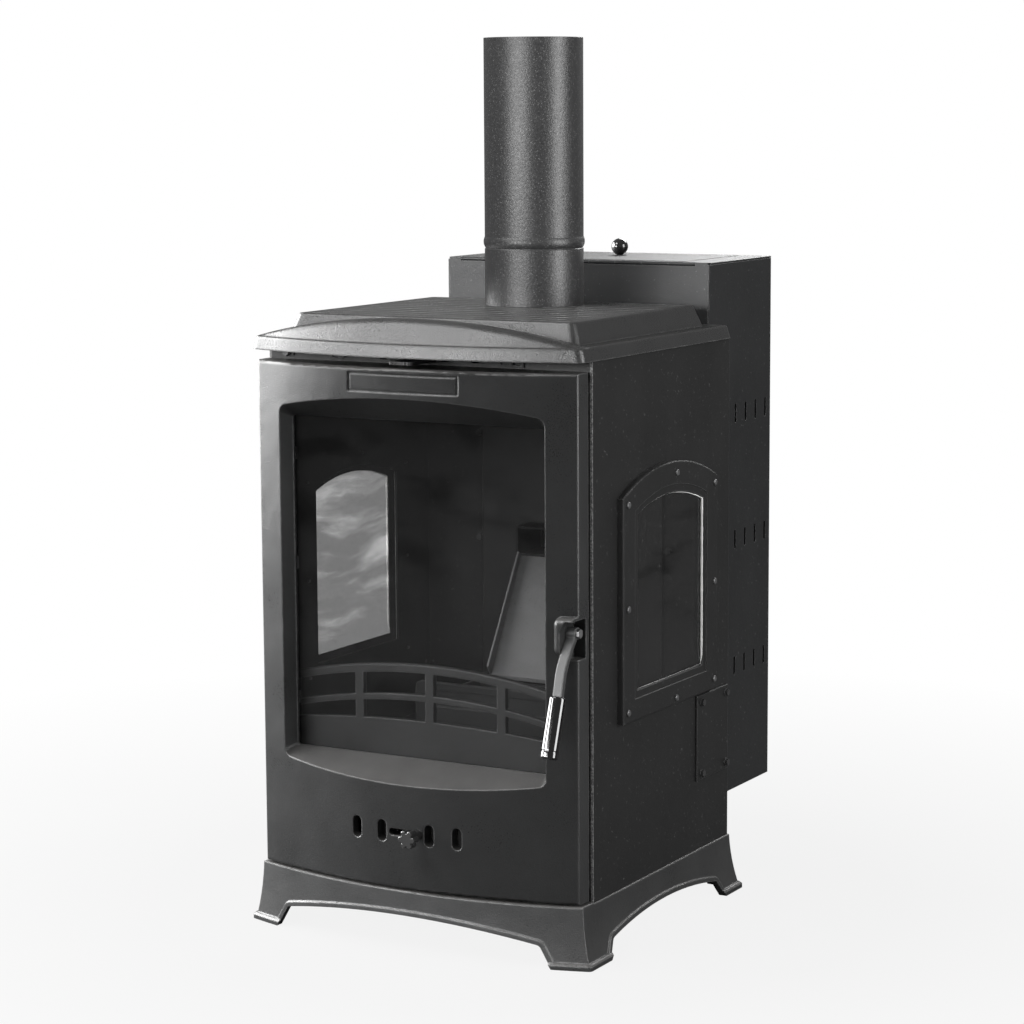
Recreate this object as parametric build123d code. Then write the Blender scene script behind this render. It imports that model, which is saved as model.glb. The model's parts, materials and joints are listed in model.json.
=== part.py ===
from build123d import *
import math
import os

os.makedirs("parts", exist_ok=True)

# All sizes are in millimetres. X runs left to right seen from the front, Y front to back, Z up.
# Drawing datum: x = 0 is the middle plane, y = 0 the body's front plane, z = 0 the floor.

# Body of folded sheet
body_w = 466.0
body_d = 386.0
body_h = 670.0
sheet = 3.0
frame_flange = 22.0
fire_opening_low = 25.0
fire_opening_high = 29.0
frame_lip = 12.0
frame_lip_t = 2.0
top_flange = 18.0

# Clearances between pieces
running = 0.05
slip = 0.3
shank_gap = 0.1

# Bow of the front in plan, shared by door, plinth and top plate
bow_rise = 37.0
bow_mid = 68.0
door_inset = 3.0

# Plinth casting
plinth_h = 75.0
plinth_wall = 7.0
plinth_deck = 6.0
plinth_over = 2.0
plinth_grow = 1.0
flare_side = 11.0
flare_front = 7.0
knee_h = 30.0
knee_share = 0.42
toe_out = 4.0
toe_h = 8.0
toe_bevel = 2.5
toe_corner_r = 6.0
sill_up = 2.0
sill_back = 1.0
plinth_edge_r = 1.5
rim_w = 6.0
rim_out = 2.5
foot_front = 44.0
foot_side = 40.0
foot_slope = 17.0
arch_front_top = 46.6
arch_front_side = 27.7
arch_side_top = 38.5
arch_side_side = 23.5
arch_side_shift = 9.0
arch_corner_r = 8.0

# Door casting
door_mid = 4.0
door_gap_low = 4.0
door_gap_high = 14.0
door_back = 5.0
door_edge_r = 4.0
glass_seat = 20.0
glass_t = 4.0
gasket_t = 1.0
lip_t = 4.0
window_half = 182.5
window_low = 236.0
window_high = 662.0
bevel_side = 0.39
bevel_low = 0.56
bevel_high = 0.725
bevel_reach = 60.0
glass_lap = 9.0
ledge_back = 13.0
ledge_lap = 22.0
casting_t = 8.0
pocket_half = 205.0
pocket_low = 92.0
pocket_high = 206.0
cartouche_w = 158.0
cartouche_h = 25.0
cartouche_z = 713.0
cartouche_deep = 1.6
rope_w = 7.0
rope_deep = 4.0
rope_inset = 4.0

# Two lug hinges beside the door's left edge
hinge_out = 5.0
hinge_back = 6.0
lug_r = 5.0
pin_r = 3.0
lug_h = 20.0
lug_gap = 0.2
leaf_t = 3.0
leaf_reach = 22.0
hinge_low_z = 170.0
hinge_high_z = 640.0
pin_head_h = 2.0
frame_bolt_x = 206.0
frame_bolt_drop = 6.6

# Primary air: four slots, shutter, stud and clamping knob
slot_w = 13.5
slot_h = 28.0
slot_inner = 34.2
slot_pitch = 38.1
slot_z = 151.0
pad_back = 50.0
pad_margin = 8.0
shutter_t = 2.0
shutter_margin = 6.0
shutter_h = 46.0
guide_t = 2.0
guide_w = 13.0
guide_lap = 4.0
stud_r = 4.0
knob_r = 12.0
knob_lobes = 6
knob_lobe_r = 3.6
knob_t = 13.0
knob_reach = 97.0
knob_boss_r = 6.0

# Handle: lever, shaft, hook and grip
shaft_r = 4.0
shaft_y = 26.0
shaft_z = 416.0
notch_x = 213.5
notch_low = 384.0
notch_high = 433.0
notch_back = 12.0
boss_x = 203.0
boss_low = 390.0
boss_high = 437.0
boss_reach = 50.0
boss_edge_r = 9.0
notch_front = 38.0
notch_facet_x = 6.5
notch_facet_z = 13.0
lever_w = 12.0
lever_t = 6.5
lever_hub_r = 7.5
shaft_head_af = 10.4
grip_r = 11.0
grip_l = 75.0
grip_lean = 19.0
hook_w = 11.0
hook_hub_r = 8.0
hook_reach = 38.0
hook_t = 8.0
hook_pocket_x = 194.5
hook_pocket_w = 13.5
hook_pocket_low = 378.0
hook_pocket_high = 440.0
hook_pocket_front = 36.0
handle_lift = 50.0

# Top air slider with its tab
slider_half = 140.0
slider_t = 2.5
slider_h = 10.5
slider_travel = 11.0
slider_stud_x = 122.0
air_slot_count = 4
tab_w = 34.0
tab_t = 4.0
tab_reach = 62.0
air_slot_l = 20.0
air_slot_h = 5.0

# Top plate casting
fascia_low = 1.0
fascia_h = 17.0
plate_over = 5.5
plate_grow = 4.0
fascia_draft = 4.5
plate_corner_r = 12.0
tier_h = 27.0
tier_half = 200.0
tier_front = 14.0
tier_back = 351.0
tier_draft = 10.0
tier_corner_r = 12.0
plate_wall = 7.0
groove_count = 12
groove_w = 4.0
groove_deep = 1.4
groove_margin = 12.0
crest_h = 29.5
crest_t = 16.0
crest_set = 6.0
crest_half = 234.0
crest_round = 6.0

# Flue
flue_y = 278.0
flue_r = 65.0
flue_t = 2.0
flue_l = 347.0
bead_up = 83.0
bead_h = 13.0
bead_out = 1.6
collar_t = 5.0
collar_h = 24.0
socket_h = 28.0
socket_step = 0.9

# Arched side windows
window_y = 198.5
frame_band = 42.3
frame_foot = 38.5
frame_head = 26.0
frame_rise = 31.0
frame_step_w = 11.0
frame_step = 1.6
frame_t = 9.0
pane_w = 183.4
pane_low = 325.0
pane_spring = 544.0
pane_rise = 17.0
pane_lap = 15.0
pane_reveal = 9.0
pane_t = 4.0
pane_gasket = 1.0
frame_w = pane_w + 2 * frame_band
frame_low = pane_low - frame_foot
frame_spring = pane_spring + frame_head

# Lower side covers
cover_y0 = 286.0
cover_y1 = 380.0
cover_z0 = 168.0
cover_z1 = 282.0
cover_t = 3.0
cover_bolt_in = 12.0

# Fire chamber
fire_floor_z = 198.0
fire_floor_t = 5.0
fence_t = 8.0
fence_half = 204.0
fence_top = 351.0
fence_sag = 25.0
fence_bar_x = 104.0
fence_bar_w = 12.0
liner_half = 139.0
liner_t = 6.0
liner_top = 640.0
baffle_t = 5.0
baffle_low = 648.0
baffle_high = 700.0
baffle_front = 95.0
baffle_gap = 4.0
rest_w = 16.0
rest_t = 4.0
burner_y = 147.0
burner_plate_half = 110.0
burner_plate_t = 6.5
burner_plate_top = 296.0
basket_half = 80.0
basket_d = 108.0
basket_h = 78.0
basket_t = 4.0
pan_half = 150.0
pan_y0 = 25.0
pan_y1 = 345.0
pan_h = 66.0
pan_t = 1.5

# Feed: throat and chute
throat_half = 62.0
throat_z0 = 441.0
throat_z1 = 481.0
throat_t = 3.0
throat_in = 335.0
chute_half = 56.0
chute_t = 2.5
chute_lip = 12.0
chute_end_y = 250.0
chute_end_z = 291.0

# Hopper of folded sheet behind the body
hopper_w = 399.0
spacer_in = 31.5
hopper_gap = 6.5
hopper_d = 197.5
hopper_low = 114.5
hopper_high = 838.0
hopper_sheet = 2.0
vent_w = 5.5
vent_h = 26.0
vent_cols = 6
vent_rows = (286.3, 461.7, 634.0)
vent_edge = 19.0
vent_shift = 2.5
seam_tab = 10.5
seam_pitch = 36.8
seam_first = 22.0
rim_z = 833.0
rim_flange = 22.0
bin_t = 1.5
bin_half = 174.0
bin_inset = 7.5
bin_knee = 640.0
bin_foot_d = 50.0
lid_t = 2.5
lid_gap = 0.4
lid_field_half = 158.0
lid_field_y0 = 405.0
lid_field_y1 = 576.0
lid_field_up = 0.7
hinge_half = 179.0
hinge_r = 2.2
hinge_pin_r = 1.2
hinge_leaf_h = 12.0
hinge_leaf_t = 1.0
hinge_clear = 1.3
hinge_notch = 2.0
knuckles = 9
pad_w = 18.2
ball_r = 11.6
ball_y = 523.0
ball_stud_r = 3.0

# Fasteners
hex_af = 8.0
hex_h = 3.6
hex_shank_r = 2.5
washer_r = 5.4
washer_t = 0.9
pan_head_r = 4.2
pan_head_h = 2.4
pan_shank_r = 2.2

# Places worked out from the sizes above
side_x = body_w / 2
inner_x = side_x - sheet
body_top = plinth_h + body_h
back_in = body_d - sheet
door_half = side_x - door_inset
door_low = plinth_h + door_gap_low
door_high = body_top - door_gap_high
bow_r = (door_half**2 + bow_rise**2) / (2 * bow_rise)
bow_centre = bow_r - bow_mid
hinge_x = -(side_x + hinge_out)
hinge_y = -hinge_back
opening_half = inner_x - frame_flange
opening_low = plinth_h + fire_opening_low
opening_high = body_top - fire_opening_high
floor_top = fire_floor_z + fire_floor_t
plate_low = body_top - fascia_low
tier_low = plate_low + fascia_h
plate_top = tier_low + tier_h
hopper_half = hopper_w / 2
hopper_front_y = body_d + hopper_gap
hopper_back_y = hopper_front_y + hopper_d
shutter_off = slot_pitch / 2
slot_places = [door_mid + s for s in (-slot_inner - slot_pitch, -slot_inner, slot_inner, slot_inner + slot_pitch)]


def bow_y(x, grow=0.0):
    """Y of the bowed front at x, for a face grown forwards by grow."""
    return bow_centre - math.sqrt((bow_r + grow) ** 2 - x * x)


def box(x0, x1, y0, y1, z0, z1):
    """Box between two corners."""
    centre = Pos((x0 + x1) / 2, (y0 + y1) / 2, (z0 + z1) / 2)
    return centre * Box(x1 - x0, y1 - y0, z1 - z0)


def bowed_face(half, grow, back):
    """Plan outline with a bowed front and a flat back."""
    left = (-half, bow_y(half, grow))
    right = (half, bow_y(half, grow))
    front = ThreePointArc(left, (0, bow_y(0, grow)), right)
    rest = Polyline(right, (half, back), (-half, back), left)
    return make_face(front + rest)


def bowed_slab(half, grow, back, z0, z1):
    """Upright slab on the bowed outline."""
    return extrude(Pos(0, 0, z0) * bowed_face(half, grow, back), amount=z1 - z0, dir=(0, 0, 1))


def along_y(outline, y0, y1):
    """Outline drawn in x and z, run from y0 to y1."""
    return extrude(Pos(0, y0, 0) * (Plane.XZ * outline), amount=y1 - y0, dir=(0, 1, 0))


def along_x(outline, x0, x1):
    """Outline drawn in y and z, run from x0 to x1."""
    return extrude(Pos(x0, 0, 0) * (Plane.YZ * outline), amount=x1 - x0, dir=(1, 0, 0))


def rod_x(radius, x0, x1, y, z):
    """Round bar along x."""
    return along_x(Pos(y, z) * Circle(radius), x0, x1)


def rod_y(radius, y0, y1, x, z):
    """Round bar along y."""
    return along_y(Pos(x, z) * Circle(radius), y0, y1)


def rod_z(radius, z0, z1, x, y):
    """Upright round bar."""
    return Pos(x, y, (z0 + z1) / 2) * Cylinder(radius, z1 - z0)


def mirrored(shape):
    """The same piece on the other side of the middle plane."""
    return mirror(shape, about=Plane.YZ)


def ring_outline(half, low, high, width):
    """Rectangular ring outline in x and z."""
    middle = (low + high) / 2
    outer = Pos(0, middle) * Rectangle(2 * half, high - low)
    inner = Pos(0, middle) * Rectangle(2 * (half - width), high - low - 2 * width)
    return outer - inner


def obround(width, height):
    """Upright slot outline."""
    return SlotOverall(height, width, rotation=90)


def arched(width, low, spring, rise, grow=0.0):
    """Window outline in y and z: square foot, arched head, grown on every side."""
    half = width / 2 + grow
    foot = low - grow
    shoulder = spring + grow * 0.6
    crown = spring + rise + grow
    left = (window_y - half, shoulder)
    right = (window_y + half, shoulder)
    head = ThreePointArc(right, (window_y, crown), left)
    rest = Polyline(left, (window_y - half, foot), (window_y + half, foot), right)
    return make_face(head + rest)


# Plinth: flared shell with arches, rolled rims and toes


def flared(grow):
    """Flared skin of the plinth, grown outwards by grow."""
    sections = []
    for z, share in ((0.0, 1.0), (knee_h, knee_share), (plinth_h, 0.0)):
        half = side_x + plinth_over + flare_side * share + grow
        front = plinth_grow + flare_front * share + grow
        rear = body_d + plinth_over + flare_side * share + grow
        sections.append(Pos(0, 0, z) * bowed_face(half, front, rear))
    return loft(sections)


def toe_band():
    """Toes: a bevelled lip round the foot of the plinth with rounded front corners."""
    sections = []
    for z, grow in ((0.0, toe_out), (toe_h - toe_bevel, toe_out), (toe_h, toe_out - toe_bevel)):
        half = side_x + plinth_over + flare_side + grow
        face = bowed_face(half, plinth_grow + flare_front + grow, body_d + plinth_over + flare_side + grow)
        sections.append(Pos(0, 0, z) * fillet(face.vertices(), toe_corner_r))
    return loft(sections, ruled=True)


def sill():
    """Raised front part of the plinth's top, with an eased edge."""
    half = side_x + plinth_over
    slab = bowed_slab(half, plinth_grow, -sill_back, plinth_h - 1, plinth_h + sill_up)
    top = slab.faces().sort_by(Axis.Z)[-1].edges().sort_by(Axis.Y)[:-1]
    return fillet(top, plinth_edge_r)


def arch_outline(half, side_z, top_z, centre=0.0):
    """Arch between two feet, open to the floor."""
    left_foot = (centre - half - foot_slope, -1)
    left = (centre - half, side_z)
    right = (centre + half, side_z)
    right_foot = (centre + half + foot_slope, -1)
    head = ThreePointArc(left, (centre, top_z), right)
    rest = Polyline(right, right_foot, left_foot, left)
    face = make_face(head + rest)
    corners = [v for v in face.vertices() if v.Y > 0]
    return fillet(corners, arch_corner_r)


def make_plinth():
    """Cast plinth with its four legs."""
    half_front = side_x + plinth_over + flare_side - foot_front - foot_slope
    middle = body_d / 2 - arch_side_shift
    half_side = body_d / 2 + plinth_over + flare_side - foot_side - foot_slope
    front = arch_outline(half_front, arch_front_side, arch_front_top)
    side = arch_outline(half_side, arch_side_side, arch_side_top, middle)
    reach = body_w
    front_cut = along_y(front, -reach, body_d + reach)
    side_cut = along_x(side, -reach, reach)
    front_band = along_y(offset(front, amount=rim_w, kind=Kind.INTERSECTION) - front, -reach, body_d + reach)
    side_band = along_x(offset(side, amount=rim_w, kind=Kind.INTERSECTION) - side, -reach, reach)
    above_floor = box(-reach, reach, -reach, body_d + reach, 0, plinth_h)
    skin = flared(0.0)
    skin = fillet(skin.faces().sort_by(Axis.Z)[-1].edges().sort_by(Axis.Y)[1:], plinth_edge_r) + sill()
    rims = flared(rim_out) & (front_band & above_floor)
    rims_side = flared(rim_out) & (side_band & above_floor)
    toes = toe_band()
    hollow = flared(-plinth_wall) & box(-reach, reach, -reach, body_d + reach, -1, plinth_h - plinth_deck)
    deck_hole = box(-opening_half, opening_half, sheet, body_d - 30, 0, plinth_h + 1)
    shape = skin + rims + rims_side + toes
    return shape - hollow - deck_hole - front_cut - side_cut


# Body sheets


def window_screw_places():
    """Y and z of the eight screws of a side window frame."""
    left = window_y - frame_w / 2 + 12.5
    right = window_y + frame_w / 2 - 9
    middle = window_y + 13.5
    low = frame_low + 13.3
    high = frame_spring - 9.5
    centre = (low + high) / 2
    rows = [(left, low), (left, centre), (left, high)]
    rows += [(right, low), (right, centre), (right, high)]
    rows += [(middle, low - 4.8), (middle, frame_spring + frame_rise - 15)]
    return rows


def cover_bolt_places():
    """Y and z of the four bolts of a lower side cover."""
    ys = (cover_y0 + cover_bolt_in + 1, cover_y1 - cover_bolt_in + 5)
    zs = (cover_z0 + 9, cover_z1 - cover_bolt_in + 2)
    return [(y, z) for y in ys for z in zs]


def make_side():
    """Right side sheet with its window, top flange and screw holes."""
    wall = box(inner_x, side_x, 0, body_d, plinth_h, body_top)
    shelf = box(inner_x - top_flange, inner_x, sheet, back_in, body_top - sheet, body_top)
    window = along_x(arched(pane_w, pane_low, pane_spring, pane_rise, pane_reveal), inner_x - 1, side_x + 1)
    side = wall + shelf - window
    for y, z in window_screw_places():
        side -= rod_x(pan_shank_r + shank_gap, inner_x - 1, side_x + 1, y, z)
    for y, z in cover_bolt_places():
        side -= rod_x(hex_shank_r + shank_gap, inner_x - 1, side_x + 1, y, z)
    return side


def hinge_screw_places():
    """Y and z of the screws of both hinge leaves."""
    return [(leaf_reach - 8, z + dz) for z in (hinge_low_z, hinge_high_z) for dz in (-12, 12)]


def make_left_side():
    """Left side sheet, with the holes of the hinge leaves as well."""
    side = mirrored(make_side())
    for y, z in hinge_screw_places():
        side -= rod_x(pan_shank_r + shank_gap, -side_x - 1, -inner_x + 1, y, z)
    return side


def slider_stud_places():
    """X of the two studs that carry the top air slider."""
    return (-slider_stud_x, slider_stud_x)


def air_slot_places():
    """X of the slots for the top air, closed by half a pitch of travel."""
    pitch = 4 * slider_travel
    first = -pitch * (air_slot_count - 1) / 2
    return [first + pitch * i for i in range(air_slot_count)]


def slider_z():
    """Middle height of the top air slider."""
    return door_high + 1.5 + slider_h / 2


def make_front_frame():
    """Flat ring that the door closes on, with a lip round the opening and the slider's studs."""
    middle = (plinth_h + body_top) / 2
    outline = Pos(0, middle) * Rectangle(2 * inner_x, body_h)
    opening = Pos(0, (opening_low + opening_high) / 2) * Rectangle(2 * opening_half, opening_high - opening_low)
    ring = along_y(outline - opening, 0, sheet)
    lip = along_y(ring_outline(opening_half + frame_lip_t, opening_low - frame_lip_t, opening_high + frame_lip_t,
                               frame_lip_t), sheet, sheet + frame_lip)
    ring += lip
    for x in air_slot_places():
        ring -= along_y(Pos(x, slider_z()) * Rectangle(air_slot_l, air_slot_h), -1, sheet + 1)
    for x in slider_stud_places():
        ring += rod_y(hex_shank_r, -slip - slider_t - slip, 0, x, slider_z())
        ring += rod_y(pan_head_r, -2 * slip - slider_t - 0.8, -2 * slip - slider_t, x, slider_z())
    ring += box(-frame_bolt_x + 8.5, -frame_bolt_x + 11.5, -2, 0, frame_bolt_z() - 3.5, frame_bolt_z() + 3.5)
    return ring - rod_y(hex_shank_r + shank_gap, -1, sheet + 1, -frame_bolt_x, frame_bolt_z())


def make_back():
    """Back sheet with the opening for the feed throat."""
    wall = box(-inner_x, inner_x, back_in, body_d, plinth_h, body_top)
    wall -= box(-throat_half, throat_half, 0, 2 * body_d, throat_z0, throat_z1)
    for x, z in liner_bolt_places() + spacer_places():
        wall -= rod_y(hex_shank_r + shank_gap, back_in - 1, body_d + 1, x, z)
    return wall


def make_floor():
    """Floor sheet of the ash space, with a turned-up rear edge."""
    floor = box(-inner_x, inner_x, sheet, back_in, plinth_h, plinth_h + sheet)
    return floor + box(-inner_x, inner_x, back_in - sheet, back_in, plinth_h + sheet, plinth_h + 15)


# Top plate: fascia tier, raised grooved tier and arched crest


def make_crest():
    """Arched crest that follows the bow of the plate's front."""
    wall = bowed_slab(crest_half, plate_grow - crest_set, 60, tier_low - 2, plate_top + 20)
    wall -= bowed_slab(crest_half + 5, plate_grow - crest_set - crest_t, 80, tier_low - 5, plate_top + 25)
    left = (-crest_half, tier_low)
    right = (crest_half, tier_low)
    head = ThreePointArc(left, (0, tier_low + crest_h), right)
    rest = Polyline(right, (crest_half, tier_low - 2), (-crest_half, tier_low - 2), left)
    arch = along_y(make_face(head + rest), -200, 60)
    crest = wall & arch
    front_top = crest.edges().filter_by(lambda e: e.length > crest_half).sort_by(lambda e: e.center().Z)[-2:]
    front_top = front_top.sort_by(lambda e: e.center().Y)
    return fillet(front_top[0:1], crest_round)


def make_top_plate():
    """Cast top with its two tiers, grooves, crest, flue hole and hollow underside."""
    low_half = side_x + plate_over
    low = Pos(0, 0, plate_low) * bowed_face(low_half, plate_grow, body_d)
    high = Pos(0, 0, tier_low) * bowed_face(low_half - fascia_draft, plate_grow - fascia_draft / 2, body_d - 2)
    lower = loft([low, high])
    upright = lower.edges().filter_by(lambda e: abs(e.length - fascia_h) < 3)
    lower = fillet(upright, plate_corner_r)
    rim = lower.faces().sort_by(Axis.Z)[-1].edges()
    lower = fillet(rim, 3)
    tier_y = (tier_front + tier_back) / 2
    tier_d = tier_back - tier_front
    foot = RectangleRounded(2 * (tier_half + tier_draft), tier_d + 2 * tier_draft, tier_corner_r)
    head = RectangleRounded(2 * tier_half, tier_d, tier_corner_r - 2)
    upper = loft([Pos(0, tier_y, tier_low - 0.5) * foot, Pos(0, tier_y, plate_top) * head])
    upper = fillet(upper.faces().sort_by(Axis.Z)[-1].edges(), 3)
    plate = lower + upper + make_crest()
    first = tier_front + groove_margin
    pitch = (tier_d - 2 * groove_margin) / (groove_count - 1)
    for i in range(groove_count):
        y = first + pitch * i
        plate -= box(-tier_half + groove_margin, tier_half - groove_margin, y - groove_w / 2, y + groove_w / 2,
                     plate_top - groove_deep, plate_top + 1)
    plate -= box(-side_x - 0.5, side_x + 0.5, -0.5, body_d + 1, plate_low - 1, body_top)
    hollow_x = tier_half - plate_wall
    plate -= box(-hollow_x, hollow_x, tier_front + plate_wall, tier_back - plate_wall, body_top - 1,
                 plate_top - plate_wall)
    plate += rod_z(flue_r + 6, plate_top - plate_wall - 5, plate_top - plate_wall, 0, flue_y)
    under = bowed_slab(low_half - casting_t, plate_grow - casting_t, -6, plate_low - 1, plate_low + 9)
    return plate - under - rod_z(collar_r() - collar_t, body_top, plate_top + 1, 0, flue_y)


# Flue


def collar_r():
    """Outer radius of the collar, which fits the pipe's socket."""
    return flue_r - flue_t + socket_step - slip


def make_collar():
    """Cast collar that the pipe slips over."""
    outer = collar_r()
    base = plate_top - plate_wall - 5
    tube = rod_z(outer, plate_top, plate_top + collar_h, 0, flue_y)
    neck = rod_z(outer - collar_t, base, plate_top, 0, flue_y)
    top_rim = (tube + neck).edges().filter_by(GeomType.CIRCLE).sort_by(Axis.Z)[-1]
    return chamfer(top_rim, 1.5) - rod_z(outer - collar_t - 4, base - 1, plate_top + collar_h + 1, 0, flue_y)


def make_pipe():
    """Flue pipe with a rolled bead, revolved."""
    inner = flue_r - flue_t
    low = bead_up - bead_h / 2
    high = bead_up + bead_h / 2
    swell = flue_r + bead_out
    socket = [(inner, flue_l), (inner, socket_h), (inner + socket_step, socket_h), (inner + socket_step, 0)]
    start = Polyline(*socket, (flue_r, 0), (flue_r, low - 3), (flue_r - 1, low - 1.5), (flue_r, low))
    roll = ThreePointArc((flue_r, low), (swell, bead_up), (flue_r, high))
    finish = Polyline((flue_r, high), (flue_r, flue_l), (inner, flue_l))
    profile = make_face(start + roll + finish)
    return Pos(0, flue_y, plate_top) * revolve(Plane.XZ * profile, axis=Axis.Z)


# Door


def recess_cutter():
    """Frustum that bevels the window recess, wider to the front."""
    near = glass_seat + lip_t
    width = 2 * (window_half + 1)
    height = window_high - window_low
    small = Pos(0, (window_low + window_high) / 2) * RectangleRounded(width, height, 3)
    low = window_low - bevel_low * bevel_reach
    high = window_high + bevel_high * bevel_reach
    big_w = width + 2 * bevel_side * bevel_reach
    big = Pos(0, (low + high) / 2) * RectangleRounded(big_w, high - low, 24)
    back = Pos(0, -near, 0) * (Plane.XZ * small)
    front = Pos(0, -near - bevel_reach, 0) * (Plane.XZ * big)
    return loft([back, front])


def door_blank():
    """Bowed slab with rounded front edges and the handle boss."""
    slab = bowed_slab(door_half, 0.0, -door_back, door_low, door_high)
    front_edges = slab.edges().filter_by(lambda e: e.center().Y < -door_back - 20)
    slab = fillet(front_edges, door_edge_r)
    boss = box(boss_x, door_half, -boss_reach, -shaft_y, boss_low, boss_high)
    ahead = boss.edges().filter_by(lambda e: e.center().Y < -boss_reach + 1)
    left = ahead.sort_by(Axis.X)[:-1]
    boss = fillet(left + boss.edges().filter_by(Axis.Y).sort_by(Axis.X)[:2], boss_edge_r)
    for z in (hinge_low_z, hinge_high_z):
        slab += box(hinge_x, -door_half + 1, hinge_y - lug_r, -door_back - 0.5, z + lug_gap / 2, z + lug_h)
        slab += rod_z(lug_r, z + lug_gap / 2, z + lug_h, hinge_x, hinge_y)
    return slab + boss


def handle_notch():
    """Pocket beside the boss for the lever, open to the front under a slanting facet."""
    pocket = box(notch_x, side_x + 10, -notch_front, -notch_back, notch_low, notch_high)
    corners = [(notch_x, notch_low), (notch_x, notch_high - notch_facet_z), (notch_x + notch_facet_x, notch_high),
               (side_x + 7, notch_high), (side_x + 7, notch_low), (notch_x, notch_low)]
    return pocket + along_y(make_face(Polyline(*corners)), -100, -notch_front + 1)


def make_door():
    """Door casting with every opening, pocket and seat."""
    door = door_blank() - recess_cutter()
    window_z = (window_low + window_high) / 2
    window_h = window_high - window_low
    door -= along_y(Pos(0, window_z) * RectangleRounded(2 * window_half, window_h, 3), -glass_seat - lip_t - 1, 0)
    rebate_w = 2 * (window_half + glass_lap + slip)
    rebate_h = window_h + 2 * (glass_lap + slip)
    door -= along_y(Pos(0, window_z) * Rectangle(rebate_w, rebate_h), -glass_seat, 0)
    ledge_w = 2 * (window_half + glass_lap + ledge_lap)
    ledge_h = window_h + 2 * (glass_lap + 12)
    door -= along_y(Pos(0, window_z) * RectangleRounded(ledge_w, ledge_h, 6), -ledge_back, 0)
    door -= lower_pocket()
    for x in slot_places:
        door -= along_y(Pos(x, slot_z) * obround(slot_w, slot_h), -200, 0)
    guide = SlotCenterToCenter(2 * shutter_off, 2 * (stud_r + 0.6))
    door -= along_y(Pos(door_mid, slot_z) * guide, -200, 0)
    door -= cartouche_field()
    door -= rope_ring(rope_w, -door_back - rope_deep, 0)
    door -= handle_notch()
    door -= box(hook_pocket_x, hook_pocket_x + hook_pocket_w, -hook_pocket_front, 0, hook_pocket_low, hook_pocket_high)
    door -= rod_x(shaft_r + running, hook_pocket_x, notch_x + 1, -shaft_y, shaft_z)
    for z in (hinge_low_z, hinge_high_z):
        door -= rod_z(pin_r + running, z - 1, z + lug_h + 1, hinge_x, hinge_y)
    for x, y, z in door_screw_places():
        door -= rod_y(pan_shank_r + shank_gap, y - 6, y + 1, x, z)
    return door


def lower_pocket():
    """Hollow behind the door's lower panel, less the pad of the air shutter."""
    hollow = bowed_slab(pocket_half, -casting_t, 0, pocket_low, pocket_high)
    half = shutter_half() + shutter_off + pad_margin + door_mid
    top = slot_z + shutter_h / 2 + guide_w + 2
    low = slot_z - shutter_h / 2 - guide_w - 2
    return hollow - box(-half, half, -200, -pad_back, low, top)


def cartouche_field():
    """Sunk bare field above the window."""
    region = along_y(Pos(door_mid, cartouche_z) * RectangleRounded(cartouche_w, cartouche_h, 2), -200, 0)
    inner = along_y(Pos(door_mid, cartouche_z) * RectangleRounded(cartouche_w - 7, cartouche_h - 7, 1), -200, 0)
    behind = bowed_slab(door_half, -cartouche_deep, 0, door_low, door_high)
    shallow = bowed_slab(door_half, -cartouche_deep / 2, 0, door_low, door_high)
    band = (region - inner) - behind
    return band + (inner - shallow)


def rope_ring(width, y0, y1):
    """Ring near the door's edge for the rope seal."""
    return along_y(ring_outline(door_half - rope_inset, door_low + rope_inset + 1, door_high - rope_inset - 1, width),
                   y0, y1)


def clip_places():
    """X and z of the glass clips, mirrored left and right."""
    x = window_half + glass_lap + 14
    return [(side * x, z) for side in (-1, 1) for z in (window_low + 60, window_low + 235, window_high - 50)]


def guide_screw_places():
    """X and z of the shutter guide screws."""
    x = shutter_half() + shutter_off - 6
    reach = shutter_h / 2 + guide_w / 2 + 1.5
    return [(door_mid + sx * x, slot_z + sz * reach) for sx in (-1, 1) for sz in (-1, 1)]


def door_screw_places():
    """X, y and z of every screw in the door's back."""
    clips = [(x, -ledge_back, z) for x, z in clip_places()]
    return clips + [(x, -pad_back, z) for x, z in guide_screw_places()]


def make_door_glass():
    """Flat door glass."""
    height = window_high - window_low + 2 * glass_lap
    middle = (window_low + window_high) / 2
    front = -glass_seat + gasket_t
    return along_y(Pos(0, middle) * Rectangle(2 * (window_half + glass_lap), height), front, front + glass_t)


def make_glass_gasket():
    """Flat gasket between the glass and its seat."""
    low = window_low - glass_lap
    high = window_high + glass_lap
    return along_y(ring_outline(window_half + glass_lap, low, high, glass_lap - 1.5), -glass_seat, -glass_seat + gasket_t)


def make_glass_clips():
    """Joggled clips that hold the glass from behind."""
    clips = []
    foot = -glass_seat + gasket_t + glass_t
    edge = window_half + glass_lap
    for x, z in clip_places():
        side = 1 if x > 0 else -1
        base = box(edge - 6, edge + 20, -ledge_back, -ledge_back + 1.5, z - 8, z + 8)
        step = box(edge - 6, edge, foot, -ledge_back, z - 8, z + 8)
        clip = base + step - rod_y(pan_shank_r + shank_gap, -50, 0, abs(x), z)
        clips.append(clip if side > 0 else mirrored(clip))
    return clips


def pan_screw_y(x, y, z, grip):
    """Pan head screw pointing to the front from behind, under-head plane at y + grip."""
    head = rod_y(pan_head_r, y + grip, y + grip + pan_head_h, x, z)
    head = chamfer(head.edges().filter_by(GeomType.CIRCLE).sort_by(Axis.Y)[-1], 0.9)
    return head + rod_y(pan_shank_r, y - 5, y + grip, x, z)


def make_door_screws():
    """Screws of the glass clips and the shutter guides."""
    screws = []
    for x, y, z in door_screw_places():
        grip = 1.5 if y > -pad_back else guide_t + shutter_t + slip
        screws.append(pan_screw_y(x, y, z, grip))
    return screws


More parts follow.
